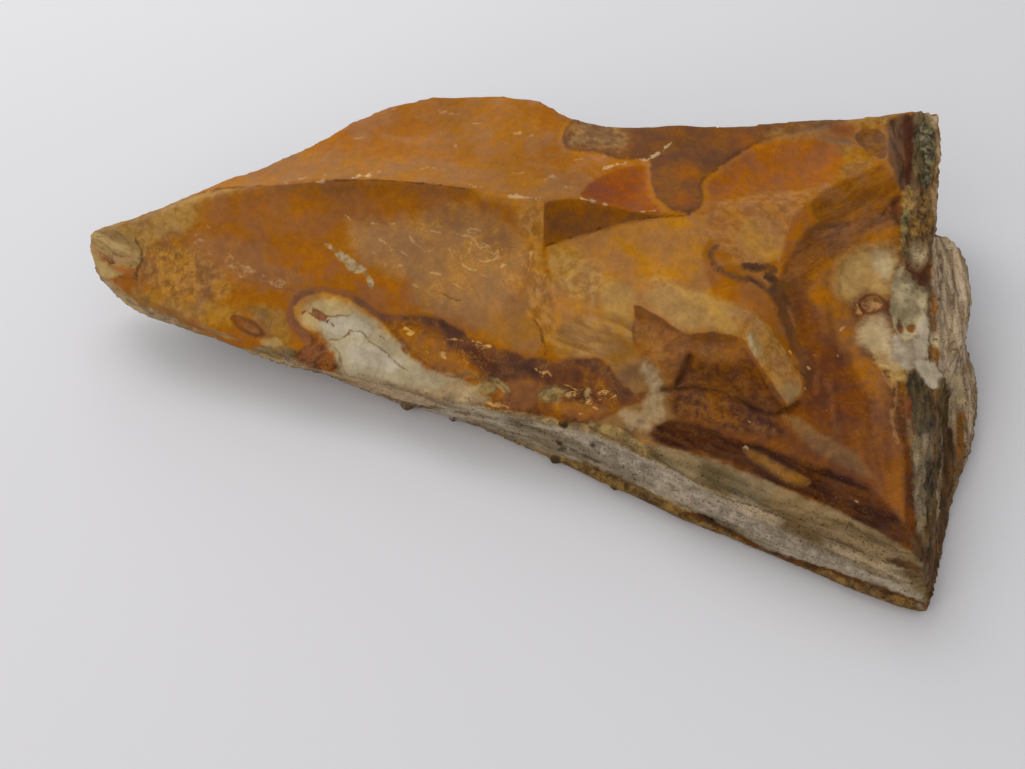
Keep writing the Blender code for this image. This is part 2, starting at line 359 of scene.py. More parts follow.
zones["film"] = [
    [(324, 243), (328, 243), (333, 248), (338, 254), (333, 252), (328, 247)],
    [(334, 252), (341, 251), (347, 256), (356, 261), (363, 265), (366, 272), (372, 280),
     (374, 291), (370, 289), (368, 280), (362, 274), (354, 273), (348, 270), (344, 262),
     (337, 258)],
    [(747, 334), (750, 334), (753, 344), (756, 358), (752, 357), (748, 346)]]

# White porcelain-like chert at the lower left, with its yellow halo and tongue
zones["porcelain"] = [
    [(318, 322), (332, 314), (350, 311), (364, 314), (376, 322), (388, 333), (400, 345),
     (410, 357), (424, 368), (440, 376), (450, 384), (436, 389), (414, 388), (390, 383),
     (366, 378), (346, 374), (340, 366), (334, 352), (324, 340)]]
zones["porcelain_core"] = [
    [(322, 324), (336, 318), (352, 316), (364, 320), (372, 330), (366, 340), (350, 334),
     (338, 338), (328, 334)],
    [(344, 346), (358, 342), (376, 346), (392, 356), (404, 366), (396, 372), (376, 368),
     (352, 366)]]
zones["cream_foot"] = [
    [(404, 366), (424, 370), (448, 374), (464, 382), (480, 391), (491, 399), (482, 404),
     (462, 403), (440, 399), (420, 394), (400, 388), (380, 380), (392, 374)]]
zones["lined_rind"] = [
    [(290, 358), (312, 362), (340, 369), (372, 376), (392, 382), (420, 390), (456, 401),
     (444, 410), (412, 405), (380, 398), (344, 385), (306, 374), (280, 366)]]
zones["halo"] = [
    [(290, 322), (289, 309), (295, 298), (304, 292), (318, 289), (334, 291), (346, 295),
     (358, 303), (368, 312), (382, 322), (394, 336), (404, 350), (396, 352), (384, 340),
     (370, 328), (350, 318), (328, 320), (320, 332), (310, 332), (298, 328)]]
zones["halo_pale"] = [
    [(300, 322), (305, 308), (316, 300), (330, 299), (344, 303), (356, 310), (352, 318),
     (336, 318), (324, 326), (314, 330)]]
zones["tongue"] = [
    [(299, 328), (308, 330), (317, 336), (324, 344), (332, 354), (339, 364), (337, 372),
     (322, 371), (308, 366), (297, 360), (292, 354), (302, 350), (306, 342), (301, 336)]]

# Red-brown ironstone along the front
zones["ironstone"] = [
    [(372, 310), (388, 316), (400, 318), (414, 316), (430, 316), (446, 322), (459, 330),
     (472, 340), (490, 346), (512, 352), (530, 359), (547, 357), (562, 361), (581, 360),
     (599, 357), (609, 370), (622, 385), (634, 394), (650, 391), (644, 402), (634, 405),
     (622, 406), (616, 414), (600, 422), (580, 424), (550, 418), (516, 412), (488, 406),
     (466, 404), (474, 394), (496, 386), (484, 379), (470, 381), (455, 380), (440, 375),
     (424, 364), (407, 351), (394, 338), (384, 324)]]
zones["plum"] = [
    [(398, 318), (412, 315), (430, 315), (446, 321), (460, 329), (473, 340), (490, 346),
     (512, 352), (532, 359), (552, 360), (550, 372), (536, 376), (518, 378), (507, 381),
     (490, 377), (477, 367), (462, 354), (448, 344), (440, 330), (424, 323), (408, 323)],
    [(560, 384), (580, 386), (592, 396), (590, 406), (574, 402), (560, 398)],
    [(560, 360), (584, 359), (600, 357), (611, 370), (624, 386), (634, 394), (650, 391),
     (644, 402), (630, 404), (616, 398), (606, 386), (594, 370), (576, 366), (556, 366)]]
zones["plum_core"] = [
    [(458, 344), (478, 348), (492, 356), (500, 366), (496, 372), (484, 370), (470, 358)],
    [(566, 388), (580, 388), (590, 396), (584, 403), (572, 400)]]
zones["plum_line"] = [
    [(770, 284), (778, 278), (786, 290), (790, 306), (794, 324), (800, 340), (808, 356),
     (811, 374), (807, 394), (802, 380), (797, 362), (789, 344), (782, 324), (776, 306),
     (768, 294)]]
zones["ember"] = [
    [(396, 330), (410, 328), (430, 334), (446, 344), (456, 356), (470, 368), (480, 376),
     (468, 379), (452, 378), (438, 372), (422, 360), (408, 348)],
    [(504, 380), (522, 376), (540, 380), (548, 386), (538, 394), (532, 408), (512, 411),
     (498, 404), (500, 388)],
    [(546, 402), (562, 398), (576, 404), (602, 406), (612, 412), (590, 420), (562, 418)]]
zones["green_lens"] = [
    [(464, 391), (474, 384), (486, 380), (498, 385), (494, 393), (480, 395)],
    [(534, 396), (544, 388), (558, 386), (568, 391), (560, 399), (544, 402)],
    [(584, 424), (600, 421), (614, 424), (630, 432), (646, 446), (654, 460), (640, 454),
     (620, 442), (600, 434)]]
zones["pale_ridge"] = [
    [(486, 378), (496, 378), (506, 384), (512, 392), (506, 393), (498, 386)],
    [(566, 392), (572, 394), (571, 399), (565, 398)],
    [(584, 389), (590, 388), (589, 395), (584, 399)]]
zones["lilac"] = [
    [(638, 368), (648, 363), (657, 370), (663, 384), (662, 398), (666, 412), (662, 424),
     (650, 424), (640, 414), (644, 402), (651, 392), (648, 380)],
    [(616, 412), (634, 410), (648, 418), (656, 430), (640, 430), (624, 422)]]

# Middle of the stone: golden shelf, brown step darkened with painted shade, and brown broken faces
# with painted shade along their upper edge
zones["shelf"] = [
    [(546, 246), (570, 238), (600, 229), (630, 222), (664, 218), (700, 214), (716, 216),
     (712, 236), (702, 250), (706, 270), (716, 300), (706, 330), (690, 332), (676, 326),
     (660, 315), (640, 306), (632, 320), (640, 345), (650, 362), (636, 366), (620, 350),
     (600, 356), (560, 358), (548, 340), (552, 300)]]
zones["streaks"] = [
    [(552, 330), (576, 316), (604, 314), (630, 320), (642, 345), (654, 366), (664, 390),
     (640, 388), (618, 380), (606, 362), (590, 356), (566, 358), (550, 350)]]
# The step is brown, darkened further as painted shade on its steep face turned from the light
zones["step"] = [
    [(544, 202), (560, 199), (578, 199), (592, 201), (609, 206), (627, 211), (652, 214.5),
     (684, 215), (660, 216.5), (640, 219), (618, 223), (599, 229), (576, 236), (560, 241),
     (543, 248)]]
zones["red_face"] = [
    [(578, 197), (588, 185), (599, 177), (620, 169), (640, 165), (649, 167), (654, 197),
     (664, 214), (645, 213), (627, 211), (606, 206), (591, 200)]]
zones["red_core"] = [
    [(586, 197), (594, 184), (606, 177), (624, 172), (638, 174), (642, 188), (632, 202),
     (612, 204), (596, 202)]]
zones["brown_face"] = [
    [(633, 305), (640, 306), (650, 312), (662, 318), (672, 326), (682, 332), (690, 335),
     (698, 333), (706, 333), (713, 331), (721, 334), (732, 335), (741, 338), (746, 342),
     (750, 350), (758, 362), (768, 378), (778, 394), (788, 408), (773, 413), (756, 407),
     (736, 396), (716, 387), (690, 385), (672, 386), (664, 386), (656, 372), (644, 362),
     (634, 344), (631, 330), (635, 318)]]
# Painted shade along the upper edge of the recessed brown face
zones["face_edge"] = [
    [(633, 303), (644, 304), (656, 311), (668, 320), (678, 328), (672, 332), (660, 326),
     (648, 320), (636, 318)],
    [(686, 334), (700, 331), (713, 330), (730, 334), (740, 339), (732, 344), (712, 342),
     (694, 343)]]
zones["brown_deep"] = [
    [(677, 384), (683, 366), (689, 353), (704, 362), (730, 364), (746, 358), (756, 364),
     (766, 380), (777, 396), (787, 408), (772, 413), (756, 407), (736, 396), (716, 387),
     (690, 385)]]
zones["face_pale"] = [
    [(632, 324), (644, 324), (656, 334), (662, 346), (668, 360), (658, 366), (646, 354),
     (636, 340)],
    [(672, 336), (684, 338), (684, 350), (674, 348)],
    [(696, 350), (716, 348), (734, 352), (728, 360), (706, 362)]]

# Top right: dark skin, arched orange facet, olive bowl and upright bands
zones["skin"] = [
    [(563, 140), (568, 149), (584, 151), (604, 153), (613, 158), (627, 160), (645, 157),
     (651, 161), (650, 174), (653, 188), (659, 201), (672, 211), (686, 213), (699, 210),
     (704, 201), (702, 190), (701, 182), (707, 176), (722, 167), (734, 156), (752, 146),
     (770, 139), (784, 134), (800, 130), (823, 124), (845, 119), (850, 108), (740, 96),
     (600, 96), (572, 122), (564, 132)]]
zones["skin_tail"] = [
    [(756, 146), (772, 139), (796, 135), (820, 135), (838, 137), (852, 141), (848, 146),
     (830, 141), (806, 138), (784, 139)],
    [(784, 134), (812, 126), (834, 121), (850, 120), (826, 130), (800, 135)]]
zones["skin_olive"] = [
    [(566, 138), (572, 147), (600, 148), (622, 148), (628, 136), (618, 128), (596, 122),
     (578, 122)],
    [(760, 136), (800, 126), (830, 118), (860, 110), (900, 108), (904, 118), (888, 126),
     (870, 128), (850, 128), (826, 130), (790, 136)]]
zones["glow"] = [
    [(674, 170), (686, 166), (699, 170), (696, 180), (680, 180)],
    [(672, 196), (684, 192), (697, 196), (694, 206), (678, 206)],
    [(738, 138), (746, 136), (752, 141), (745, 147), (738, 145)],
    [(828, 128), (842, 123), (854, 127), (852, 136), (836, 136)]]
zones["arch"] = [
    [(718, 201), (706, 188), (712, 176), (724, 168), (736, 157), (752, 148), (770, 142),
     (785, 138), (810, 138), (828, 141), (838, 150), (843, 159), (838, 174), (823, 184),
     (802, 189), (779, 190), (752, 192), (734, 196)]]
zones["arch_rim"] = [
    [(826, 139), (852, 144), (868, 153), (881, 163), (866, 170), (850, 176), (832, 182),
     (838, 172), (842, 160), (838, 150)]]
zones["blush"] = [
    [(716, 204), (734, 197), (756, 193), (790, 190), (816, 187), (842, 178), (822, 194),
     (806, 206), (794, 224), (784, 246), (778, 262), (760, 264), (738, 266), (720, 250),
     (708, 236), (706, 218)]]
zones["blush_khaki"] = [
    [(738, 226), (752, 216), (768, 220), (784, 236), (784, 250), (774, 262), (752, 262),
     (738, 250)]]
zones["orange_strip"] = [
    [(786, 236), (796, 214), (808, 202), (816, 214), (812, 226), (802, 242), (788, 262),
     (780, 264)]]
zones["small_facet"] = [
    [(853, 140), (856, 130), (868, 126), (880, 128), (888, 136), (889, 150), (884, 162),
     (868, 155)]]
zones["bowl"] = [
    [(879, 164), (892, 171), (898, 184), (900, 196), (888, 208), (873, 218), (850, 221),
     (826, 224), (813, 217), (810, 202), (826, 190), (846, 179), (863, 171)]]
zones["bowl_foot"] = [
    [(806, 224), (840, 220), (866, 216), (884, 214), (898, 222), (890, 234), (862, 240),
     (842, 252), (826, 262), (806, 280), (794, 292), (780, 276), (786, 258), (800, 240)]]
zones["band_plum"] = [
    [(886, 121), (898, 116), (911, 112), (913, 131), (913, 160), (910, 186), (903, 194),
     (897, 184), (893, 170), (888, 156), (889, 140)]]
zones["band_red"] = [
    [(901, 118), (911, 113), (913, 140), (912, 170), (908, 190), (904, 178), (906, 146)]]
zones["band_ink"] = [
    [(916, 112), (928, 108), (930, 121), (935, 132), (936, 150), (934, 170), (928, 189),
     (919, 183), (914, 166), (914, 131)]]
zones["ink_specks"] = [
    [(920, 124), (927, 122), (930, 140), (934, 152), (933, 170), (928, 186), (922, 176),
     (924, 156), (918, 140)]]
zones["edge_tan"] = [
    [(929, 120), (940, 120), (942, 160), (938, 190), (942, 230), (934, 232), (930, 200),
     (934, 180), (936, 150), (934, 132)]]
zones["strip_ochre"] = [
    [(906, 206), (916, 196), (930, 196), (934, 214), (931, 236), (926, 250), (916, 244),
     (910, 228)]]
zones["strip_green"] = [
    [(903, 206), (911, 208), (910, 224), (904, 238), (906, 252), (910, 262), (903, 258),
     (900, 232)],
    [(911, 236), (917, 244), (918, 256), (912, 254)]]
# The crevices are brown, darkened further as painted shade in their hollows
zones["crevice"] = [
    [(889, 202), (896, 196), (903, 196), (903, 208), (899, 220), (892, 214)],
    [(904, 257), (914, 262), (922, 266), (932, 254), (933, 282), (923, 288), (912, 276)]]

# Broad end: cream dishes, the eye, grey hollow and white chalk
zones["dish"] = [
    [(836, 276), (842, 260), (858, 250), (876, 247), (892, 248), (896, 262), (890, 280),
     (888, 296), (878, 294), (866, 290), (853, 299), (842, 298), (835, 288)]]
zones["dish_pale"] = [
    [(874, 250), (888, 252), (895, 264), (890, 280), (880, 276), (872, 262)]]
zones["eye"] = [
    [(859, 304), (864, 296), (872, 294), (882, 297), (885, 304), (878, 312), (866, 313)]]
zones["chalk"] = [
    [(860, 326), (872, 318), (884, 316), (889, 330), (893, 344), (898, 356), (902, 368),
     (892, 368), (882, 356), (868, 350), (858, 340)],
    [(928, 109), (940, 110), (942, 116), (935, 124), (930, 121)],
    [(912, 248), (922, 245), (925, 258), (922, 265), (914, 262)]]
zones["chalk_lilac"] = [
    [(893, 330), (904, 342), (914, 342), (920, 326), (928, 312), (929, 340), (926, 360),
     (912, 372), (900, 366), (890, 356)]]
zones["chalk_white"] = [
    [(914, 362), (926, 358), (936, 366), (944, 376), (942, 384), (934, 390), (926, 384),
     (918, 374)]]
zones["cavity"] = [
    [(897, 262), (908, 274), (920, 286), (929, 288), (929, 308), (926, 322), (918, 336),
     (902, 342), (893, 328), (889, 308), (893, 284)]]
zones["cavity_pits"] = [
    [(897, 316), (903, 318), (906, 326), (902, 332), (897, 328)],
    [(909, 322), (918, 320), (919, 328), (911, 332)]]
zones["cream_tail"] = [
    [(868, 348), (880, 352), (894, 358), (908, 368), (906, 380), (898, 382), (888, 374),
     (876, 364)],
    [(904, 188), (914, 186), (917, 196), (912, 208), (904, 208)]]
zones["rust"] = [
    [(792, 306), (800, 286), (816, 270), (832, 262), (838, 272), (836, 290), (846, 306),
     (858, 318), (856, 345), (868, 362), (880, 372), (890, 392), (896, 414), (893, 450),
     (898, 490), (903, 535), (880, 520), (840, 492), (800, 470), (760, 452), (720, 440),
     (668, 420), (662, 400), (672, 388), (700, 388), (730, 396), (756, 408), (772, 414),
     (790, 412), (803, 398), (810, 375), (806, 350), (798, 330)]]
zones["rust_gold"] = [
    [(808, 276), (826, 258), (850, 240), (880, 228), (898, 226), (896, 244), (866, 250),
     (846, 262), (840, 284), (848, 304), (860, 316), (864, 330), (862, 346), (868, 360),
     (880, 374), (874, 384), (860, 372), (848, 358), (836, 342), (824, 322), (810, 300)],
    [(858, 345), (874, 360), (888, 380), (892, 400), (880, 404), (862, 386), (850, 364)]]
zones["rust_edge"] = [
    [(874, 396), (888, 400), (894, 430), (904, 446), (906, 480), (908, 530), (894, 524),
     (880, 500), (872, 470), (870, 430)]]
zones["rust_deep"] = [
    [(806, 350), (820, 344), (840, 352), (852, 372), (866, 392), (862, 416), (840, 424),
     (812, 420), (796, 410), (806, 396), (812, 374)]]
zones["joint"] = [
    [(596, 380), (620, 372), (632, 362), (650, 358), (664, 372), (672, 392), (676, 424),
     (670, 446), (652, 446), (630, 436), (604, 428), (590, 418), (606, 404)]]
zones["bed_gold"] = [
    [(664, 396), (690, 392), (720, 396), (750, 410), (775, 420), (790, 432), (774, 440),
     (740, 434), (700, 424), (670, 412)]]
zones["wedge"] = [
    [(784, 416), (800, 418), (818, 432), (836, 442), (856, 452), (874, 476), (862, 476),
     (840, 464), (818, 452), (798, 436)]]
zones["bed_dark"] = [
    [(646, 432), (660, 420), (680, 420), (705, 426), (735, 440), (760, 444), (800, 460),
     (830, 470), (860, 480), (886, 502), (904, 524), (910, 548), (884, 538), (850, 520),
     (815, 498), (790, 492), (770, 484), (740, 464), (700, 452), (660, 447)]]
zones["lozenge"] = [
    [(740, 447), (752, 449), (766, 455), (784, 466), (803, 475), (812, 483), (803, 487),
     (787, 484), (767, 471), (750, 460)]]
zones["red_line"] = [
    [(903, 440), (908, 434), (912, 470), (916, 500), (916, 530), (920, 546), (912, 552),
     (905, 530), (906, 480)],
    [(896, 546), (914, 546), (926, 551), (932, 562), (918, 560), (902, 557)]]
zones["ember_spot"] = [
    [(905, 400), (914, 396), (918, 408), (914, 420), (906, 418)]]
zones["finger"] = [
    [(908, 382), (911, 373), (918, 370), (924, 378), (928, 392), (933, 404), (935, 430),
     (930, 442), (925, 430), (920, 442), (915, 430), (912, 406)],
    [(926, 462), (934, 456), (937, 470), (936, 494), (931, 512), (926, 520), (924, 490)]]
zones["end_olive"] = [
    [(937, 378), (946, 376), (953, 392), (952, 420), (947, 444), (942, 480), (938, 520),
     (933, 556), (928, 560), (930, 520), (936, 480), (936, 440), (940, 410)]]
zones["end_grey"] = [
    [(912, 436), (920, 434), (928, 430), (932, 446), (930, 466), (926, 490), (924, 520),
     (919, 540), (915, 528), (915, 490), (913, 460)]]

# Ledges that stick out below the broad end
zones["ledge"] = [
    [(932, 238), (944, 234), (960, 246), (970, 264), (978, 300), (972, 345), (984, 375),
     (982, 430), (972, 470), (952, 540), (944, 570), (934, 606), (924, 612), (928, 570),
     (934, 540), (938, 470), (948, 430), (950, 396), (944, 372), (930, 350), (929, 300),
     (934, 262)]]
zones["ledge_cream"] = [
    [(952, 376), (960, 372), (967, 384), (966, 400), (960, 406), (954, 396)],
    [(933, 332), (938, 334), (944, 348), (940, 352), (934, 344)]]
zones["ledge_dark"] = [
    [(944, 424), (954, 428), (957, 470), (950, 512), (942, 560), (935, 600), (926, 612),
     (924, 586), (930, 556), (936, 520), (941, 470)]]
zones["ledge_orange"] = [
    [(930, 286), (936, 288), (938, 310), (937, 332), (932, 336)],
    [(930, 346), (936, 344), (942, 358), (936, 366)],
    [(956, 410), (964, 410), (966, 440), (960, 480), (954, 470)]]

# Front wall: olive bed on top, grey chalky rind and ochre foot
zones["wall_olive"] = [
    [(634, 440), (664, 446), (700, 456), (740, 469), (770, 483), (800, 494), (850, 517),
     (880, 533), (912, 551), (930, 566), (924, 580), (890, 562), (856, 550), (823, 535),
     (790, 520), (762, 508), (720, 494), (690, 480), (652, 460)]]
zones["wall_green"] = [
    [(690, 470), (712, 474), (740, 484), (764, 497), (772, 506), (756, 504), (730, 495),
     (706, 484)],
    [(640, 448), (664, 456), (700, 464), (730, 472), (752, 484), (742, 486), (716, 478),
     (680, 468), (652, 458)]]
zones["wall_peach"] = [
    [(724, 494), (748, 499), (764, 508), (786, 520), (776, 526), (752, 518), (734, 506)],
    [(820, 536), (850, 550), (890, 566), (912, 580), (900, 582), (860, 566), (826, 546)]]
zones["corner_dark"] = [
    [(882, 557), (900, 560), (914, 562), (924, 570), (918, 574), (900, 568)],
    [(908, 536), (918, 538), (927, 550), (930, 563), (922, 564), (913, 552)]]
zones["wall_grey"] = [
    [(268, 352), (340, 373), (374, 390), (414, 401), (466, 404), (510, 411), (551, 420),
     (581, 430), (606, 440), (633, 452), (658, 464), (688, 479), (724, 496), (760, 518),
     (800, 538), (856, 560), (900, 580), (930, 600), (920, 612), (860, 598), (810, 574),
     (740, 544), (700, 526), (650, 504), (600, 484), (540, 462), (480, 434), (400, 412),
     (320, 380)]]
zones["wall_foot"] = [
    [(420, 418), (450, 426), (470, 430), (490, 432), (512, 438), (540, 450), (560, 456),
     (600, 467), (640, 486), (680, 505), (720, 526), (740, 538), (760, 548), (800, 563),
     (840, 575), (880, 589), (924, 605), (926, 630), (860, 620), (740, 566), (640, 522),
     (560, 488), (500, 464), (430, 440)]]
zones["wall_lilac"] = [
    [(596, 436), (624, 448), (650, 462), (680, 478), (716, 500), (750, 518), (790, 538),
     (830, 556), (870, 574), (900, 588), (880, 590), (840, 572), (800, 554), (760, 538),
     (720, 520), (690, 506), (650, 488), (610, 470), (580, 452)]]
zones["wall_shade"] = [
    [(500, 418), (520, 420), (548, 430), (575, 442), (606, 458), (640, 475), (660, 488),
     (640, 485), (600, 467), (560, 451), (526, 436)],
    [(700, 512), (716, 516), (740, 530), (730, 534), (708, 524)]]
zones["lip"] = [
    [(476, 400), (500, 404), (530, 410), (560, 416), (590, 422), (616, 430), (640, 442),
     (652, 454), (634, 448), (606, 438), (578, 430), (546, 422), (512, 416), (484, 410)]]
zones["wall_blotch"] = [
    [(690, 510), (700, 513), (712, 518), (722, 526), (710, 525), (698, 518)],
    [(554, 440), (561, 441), (564, 448), (557, 446)],
    [(589, 442), (596, 443), (595, 448), (590, 448)],
    [(560, 446), (566, 448), (564, 452), (559, 450)],
    [(849, 520), (853, 521), (853, 526), (849, 526)]]
zones["crumbs"] = [
    [(400, 403), (408, 402), (413, 408), (406, 411)],
    [(449, 417), (456, 418), (456, 424), (450, 423)],
    [(520, 446), (530, 447), (538, 454), (530, 457), (522, 453)],
    [(552, 455), (560, 457), (560, 463), (553, 462)],
    [(611, 486), (617, 487), (617, 493), (611, 492)],
    [(560, 419), (568, 422), (566, 427), (560, 424)]]
zones["clod"] = [
    [(504, 438), (514, 440), (522, 447), (518, 453), (508, 450), (502, 444)]]

CRISP = ("scar", "step", "brown_face", "shelf", "wedge")
distances = {name: inside(outlines, name in CRISP) for name, outlines in zones.items()}

# Veins, cracks, pale bruises and two painted shadow lines, kept as the offset from their middle
# line
veins = {}
veins["ring"] = [
    [(305, 334), (298, 328), (291, 323), (290, 311), (295, 301), (304, 294), (318, 290),
     (333, 291), (347, 294), (360, 301), (368, 308), (377, 314), (388, 318), (400, 318)],
    [(298, 328), (303, 338), (308, 346), (305, 352)]]
veins["squiggle"] = [
    [(717, 246), (711, 250), (711, 258), (715, 267), (722, 272), (736, 277), (750, 279),
     (760, 283), (766, 291), (776, 290)]]
veins["squiggle_bar"] = [
    [(744, 267), (752, 268), (765, 267), (774, 270)],
    [(768, 276), (774, 280), (782, 286)]]
veins["ledge_lines"] = [
    [(931, 242), (929, 262), (929, 290), (930, 318), (934, 340)],
    [(952, 250), (955, 280), (953, 310), (949, 335)], [(941, 250), (942, 275), (940, 300)],
    [(964, 370), (968, 396), (968, 424), (964, 456), (957, 490)],
    [(949, 384), (952, 412), (950, 446), (945, 484), (941, 520), (937, 552)],
    [(975, 384), (976, 414), (971, 446), (964, 474)], [(957, 350), (962, 362), (966, 372)]]
veins["tail_lines"] = [
    [(864, 350), (874, 356), (880, 366), (884, 378), (892, 390)],
    [(884, 364), (892, 374), (896, 388), (896, 402), (893, 416)],
    [(892, 416), (894, 430), (898, 442)], [(876, 350), (888, 357), (898, 366)]]
veins["rust_runs"] = [
    [(798, 302), (803, 322), (807, 340)], [(826, 304), (832, 328), (837, 352), (838, 374)],
    [(848, 352), (851, 374), (854, 398), (857, 420)], [(866, 394), (869, 420), (873, 446)],
    [(822, 374), (825, 396), (822, 416)], [(885, 414), (887, 442), (889, 472)],
    [(837, 400), (842, 422), (846, 444)], [(810, 380), (812, 402), (808, 416)],
    [(876, 452), (881, 476), (887, 502)]]
veins["gold_runs"] = [
    [(815, 290), (818, 310), (824, 332)], [(842, 300), (846, 322), (850, 342)],
    [(858, 354), (864, 372), (870, 392), (874, 412)], [(876, 386), (882, 404), (886, 424)],
    [(829, 380), (832, 404), (834, 426)], [(856, 428), (860, 450), (866, 470)],
    [(894, 444), (897, 470), (899, 500)], [(816, 352), (818, 372), (817, 392)]]
veins["threads"] = [
    [(329, 340), (338, 340), (344, 337), (349, 331), (357, 330), (364, 333), (369, 341)],
    [(369, 341), (376, 347), (384, 350), (391, 358), (400, 366), (408, 372)],
    [(326, 317), (338, 316), (350, 315)],
    [(334, 347), (340, 354), (342, 362), (338, 371)],
    [(446, 376), (458, 377), (470, 372), (484, 380), (500, 382)],
    [(484, 376), (496, 380), (506, 390), (510, 396)]]
veins["red_bits"] = [
    [(303, 314), (307, 311), (312, 310), (318, 312), (323, 315), (327, 318), (322, 320),
     (316, 316), (310, 314)],
    [(332, 324), (333, 326)], [(381, 336), (384, 340)], [(404, 350), (406, 353)],
    [(344, 336), (349, 334)]]
veins["cracks"] = [
    [(124, 226), (131, 232), (138, 243), (143, 254), (142, 262), (137, 270), (137, 277)],
    [(96, 254), (102, 257), (110, 262)], [(112, 262), (122, 266), (130, 266), (136, 263)],
    [(118, 275), (126, 279), (132, 277), (138, 280)],
    [(534, 320), (540, 330), (544, 340), (545, 356)],
    [(543, 248), (560, 241.5), (576, 236.5), (599, 229.5), (618, 223.5), (640, 219)],
    [(640, 219), (660, 216.5), (690, 215)],
    [(884, 213), (889, 206), (896, 202), (903, 196)],
    [(432, 292), (444, 294), (451, 299), (459, 301)],
    [(722, 497), (762, 509), (790, 521), (824, 537), (850, 548), (882, 561)],
    [(882, 561), (900, 568), (914, 576)],
    [(795, 366), (802, 374), (808, 378)], [(560, 445), (580, 455), (604, 466)],
    [(330, 384), (360, 392), (392, 400), (430, 409), (470, 415)]]
veins["swirls"] = [
    [(98, 231), (108, 234), (116, 242), (124, 249), (134, 251)],
    [(93, 239), (103, 242), (111, 250), (119, 256), (130, 257)],
    [(94, 248), (102, 253), (112, 260)], [(110, 228), (120, 234), (129, 243)],
    [(146, 248), (160, 249), (176, 254)], [(140, 298), (156, 306), (172, 313)],
    [(150, 308), (170, 317), (196, 328), (222, 338)], [(206, 330), (226, 336), (240, 344)],
    [(120, 296), (136, 307), (154, 316)]]
# Painted shadow: the dark line in the gap between the grey bed and the ochre foot crust, also cut
# in as a groove
veins["foot_line"] = [
    [(686, 514), (700, 519), (716, 526), (740, 539), (755, 546.5), (790, 560), (829, 571.5),
     (860, 582), (895, 594), (926, 607)]]
veins["bruises"] = [
    [(277, 184), (282, 183), (287, 184)], [(316, 181), (325, 181)],
    [(352, 177), (362, 175)], [(366, 176), (373, 174)],
    [(470, 186), (482, 187)], [(512, 196), (522, 197), (541, 199)],
    [(582, 199), (596, 202), (607, 205)], [(633, 211), (644, 212), (655, 210)],
    [(598, 172), (603, 168), (612, 166)], [(618, 164), (626, 163)], [(638, 162), (648, 160)],
    [(653, 158), (662, 152), (671, 143)],
    [(838, 496), (846, 500)], [(850, 498), (858, 503)], [(745, 447), (748, 449)]]
veins["glints"] = [
    [(405, 328), (409, 330)], [(411, 331), (414, 333)], [(408, 334), (411, 335)],
    [(447, 339), (456, 339), (465, 342)], [(473, 341), (479, 342)], [(483, 345), (490, 346)],
    [(478, 347), (482, 349)], [(462, 361), (467, 363)], [(464, 359), (466, 361)],
    [(442, 352), (444, 353)], [(443, 356), (445, 358)], [(426, 351), (428, 352)],
    [(535, 369), (539, 372), (545, 373)], [(548, 372), (551, 376)], [(538, 375), (542, 377)],
    [(560, 383), (568, 386)], [(571, 387), (577, 391)], [(570, 395), (574, 397)],
    [(585, 388), (589, 393)], [(588, 397), (592, 399)], [(586, 404), (590, 401)],
    [(596, 400), (602, 400)], [(604, 396), (607, 402)], [(611, 398), (616, 396)],
    [(598, 394), (603, 392)], [(606, 391), (610, 392)], [(593, 408), (597, 409)],
    [(484, 402), (489, 403)], [(493, 405), (499, 406)], [(501, 401), (503, 405)],
    [(505, 405), (508, 408)], [(498, 401), (499, 403)], [(511, 398), (511, 402)],
    [(557, 411), (561, 412)], [(578, 413), (582, 414)],
    [(857, 304), (858, 307)], [(859, 309), (861, 312)], [(855, 311), (857, 313)],
    [(841, 330), (845, 326)], [(814, 355), (816, 356)], [(837, 355), (838, 356)],
    [(808, 367), (810, 369)], [(790, 352), (791, 354)], [(748, 421), (750, 422)],
    [(826, 410), (827, 411)], [(805, 388), (806, 390)]]
veins["scratches"] = [
    [(410, 236), (414, 243), (422, 249)], [(432, 231), (440, 233)],
    [(451, 232), (462, 236), (470, 236), (476, 242), (479, 249), (489, 252), (500, 256)],
    [(401, 251), (407, 256)], [(390, 250), (397, 249)],
    [(460, 256), (461, 264), (468, 269), (477, 270)], [(479, 261), (489, 262), (500, 256)],
    [(500, 256), (497, 251)], [(431, 273), (440, 275)], [(395, 266), (402, 266)],
    [(451, 282), (462, 289)], [(363, 223), (382, 224), (395, 224)],
    [(345, 214), (350, 219), (351, 222)], [(463, 204), (461, 210)], [(438, 224), (441, 227)],
    [(481, 275), (487, 277)], [(532, 252), (528, 271)], [(470, 228), (480, 231)],
    [(415, 240), (424, 243)], [(424, 252), (432, 251)], [(446, 247), (450, 252)],
    [(470, 246), (468, 254)], [(484, 244), (491, 248)], [(380, 240), (386, 243)],
    [(372, 252), (379, 256)], [(412, 284), (418, 287)], [(500, 268), (506, 264)]]
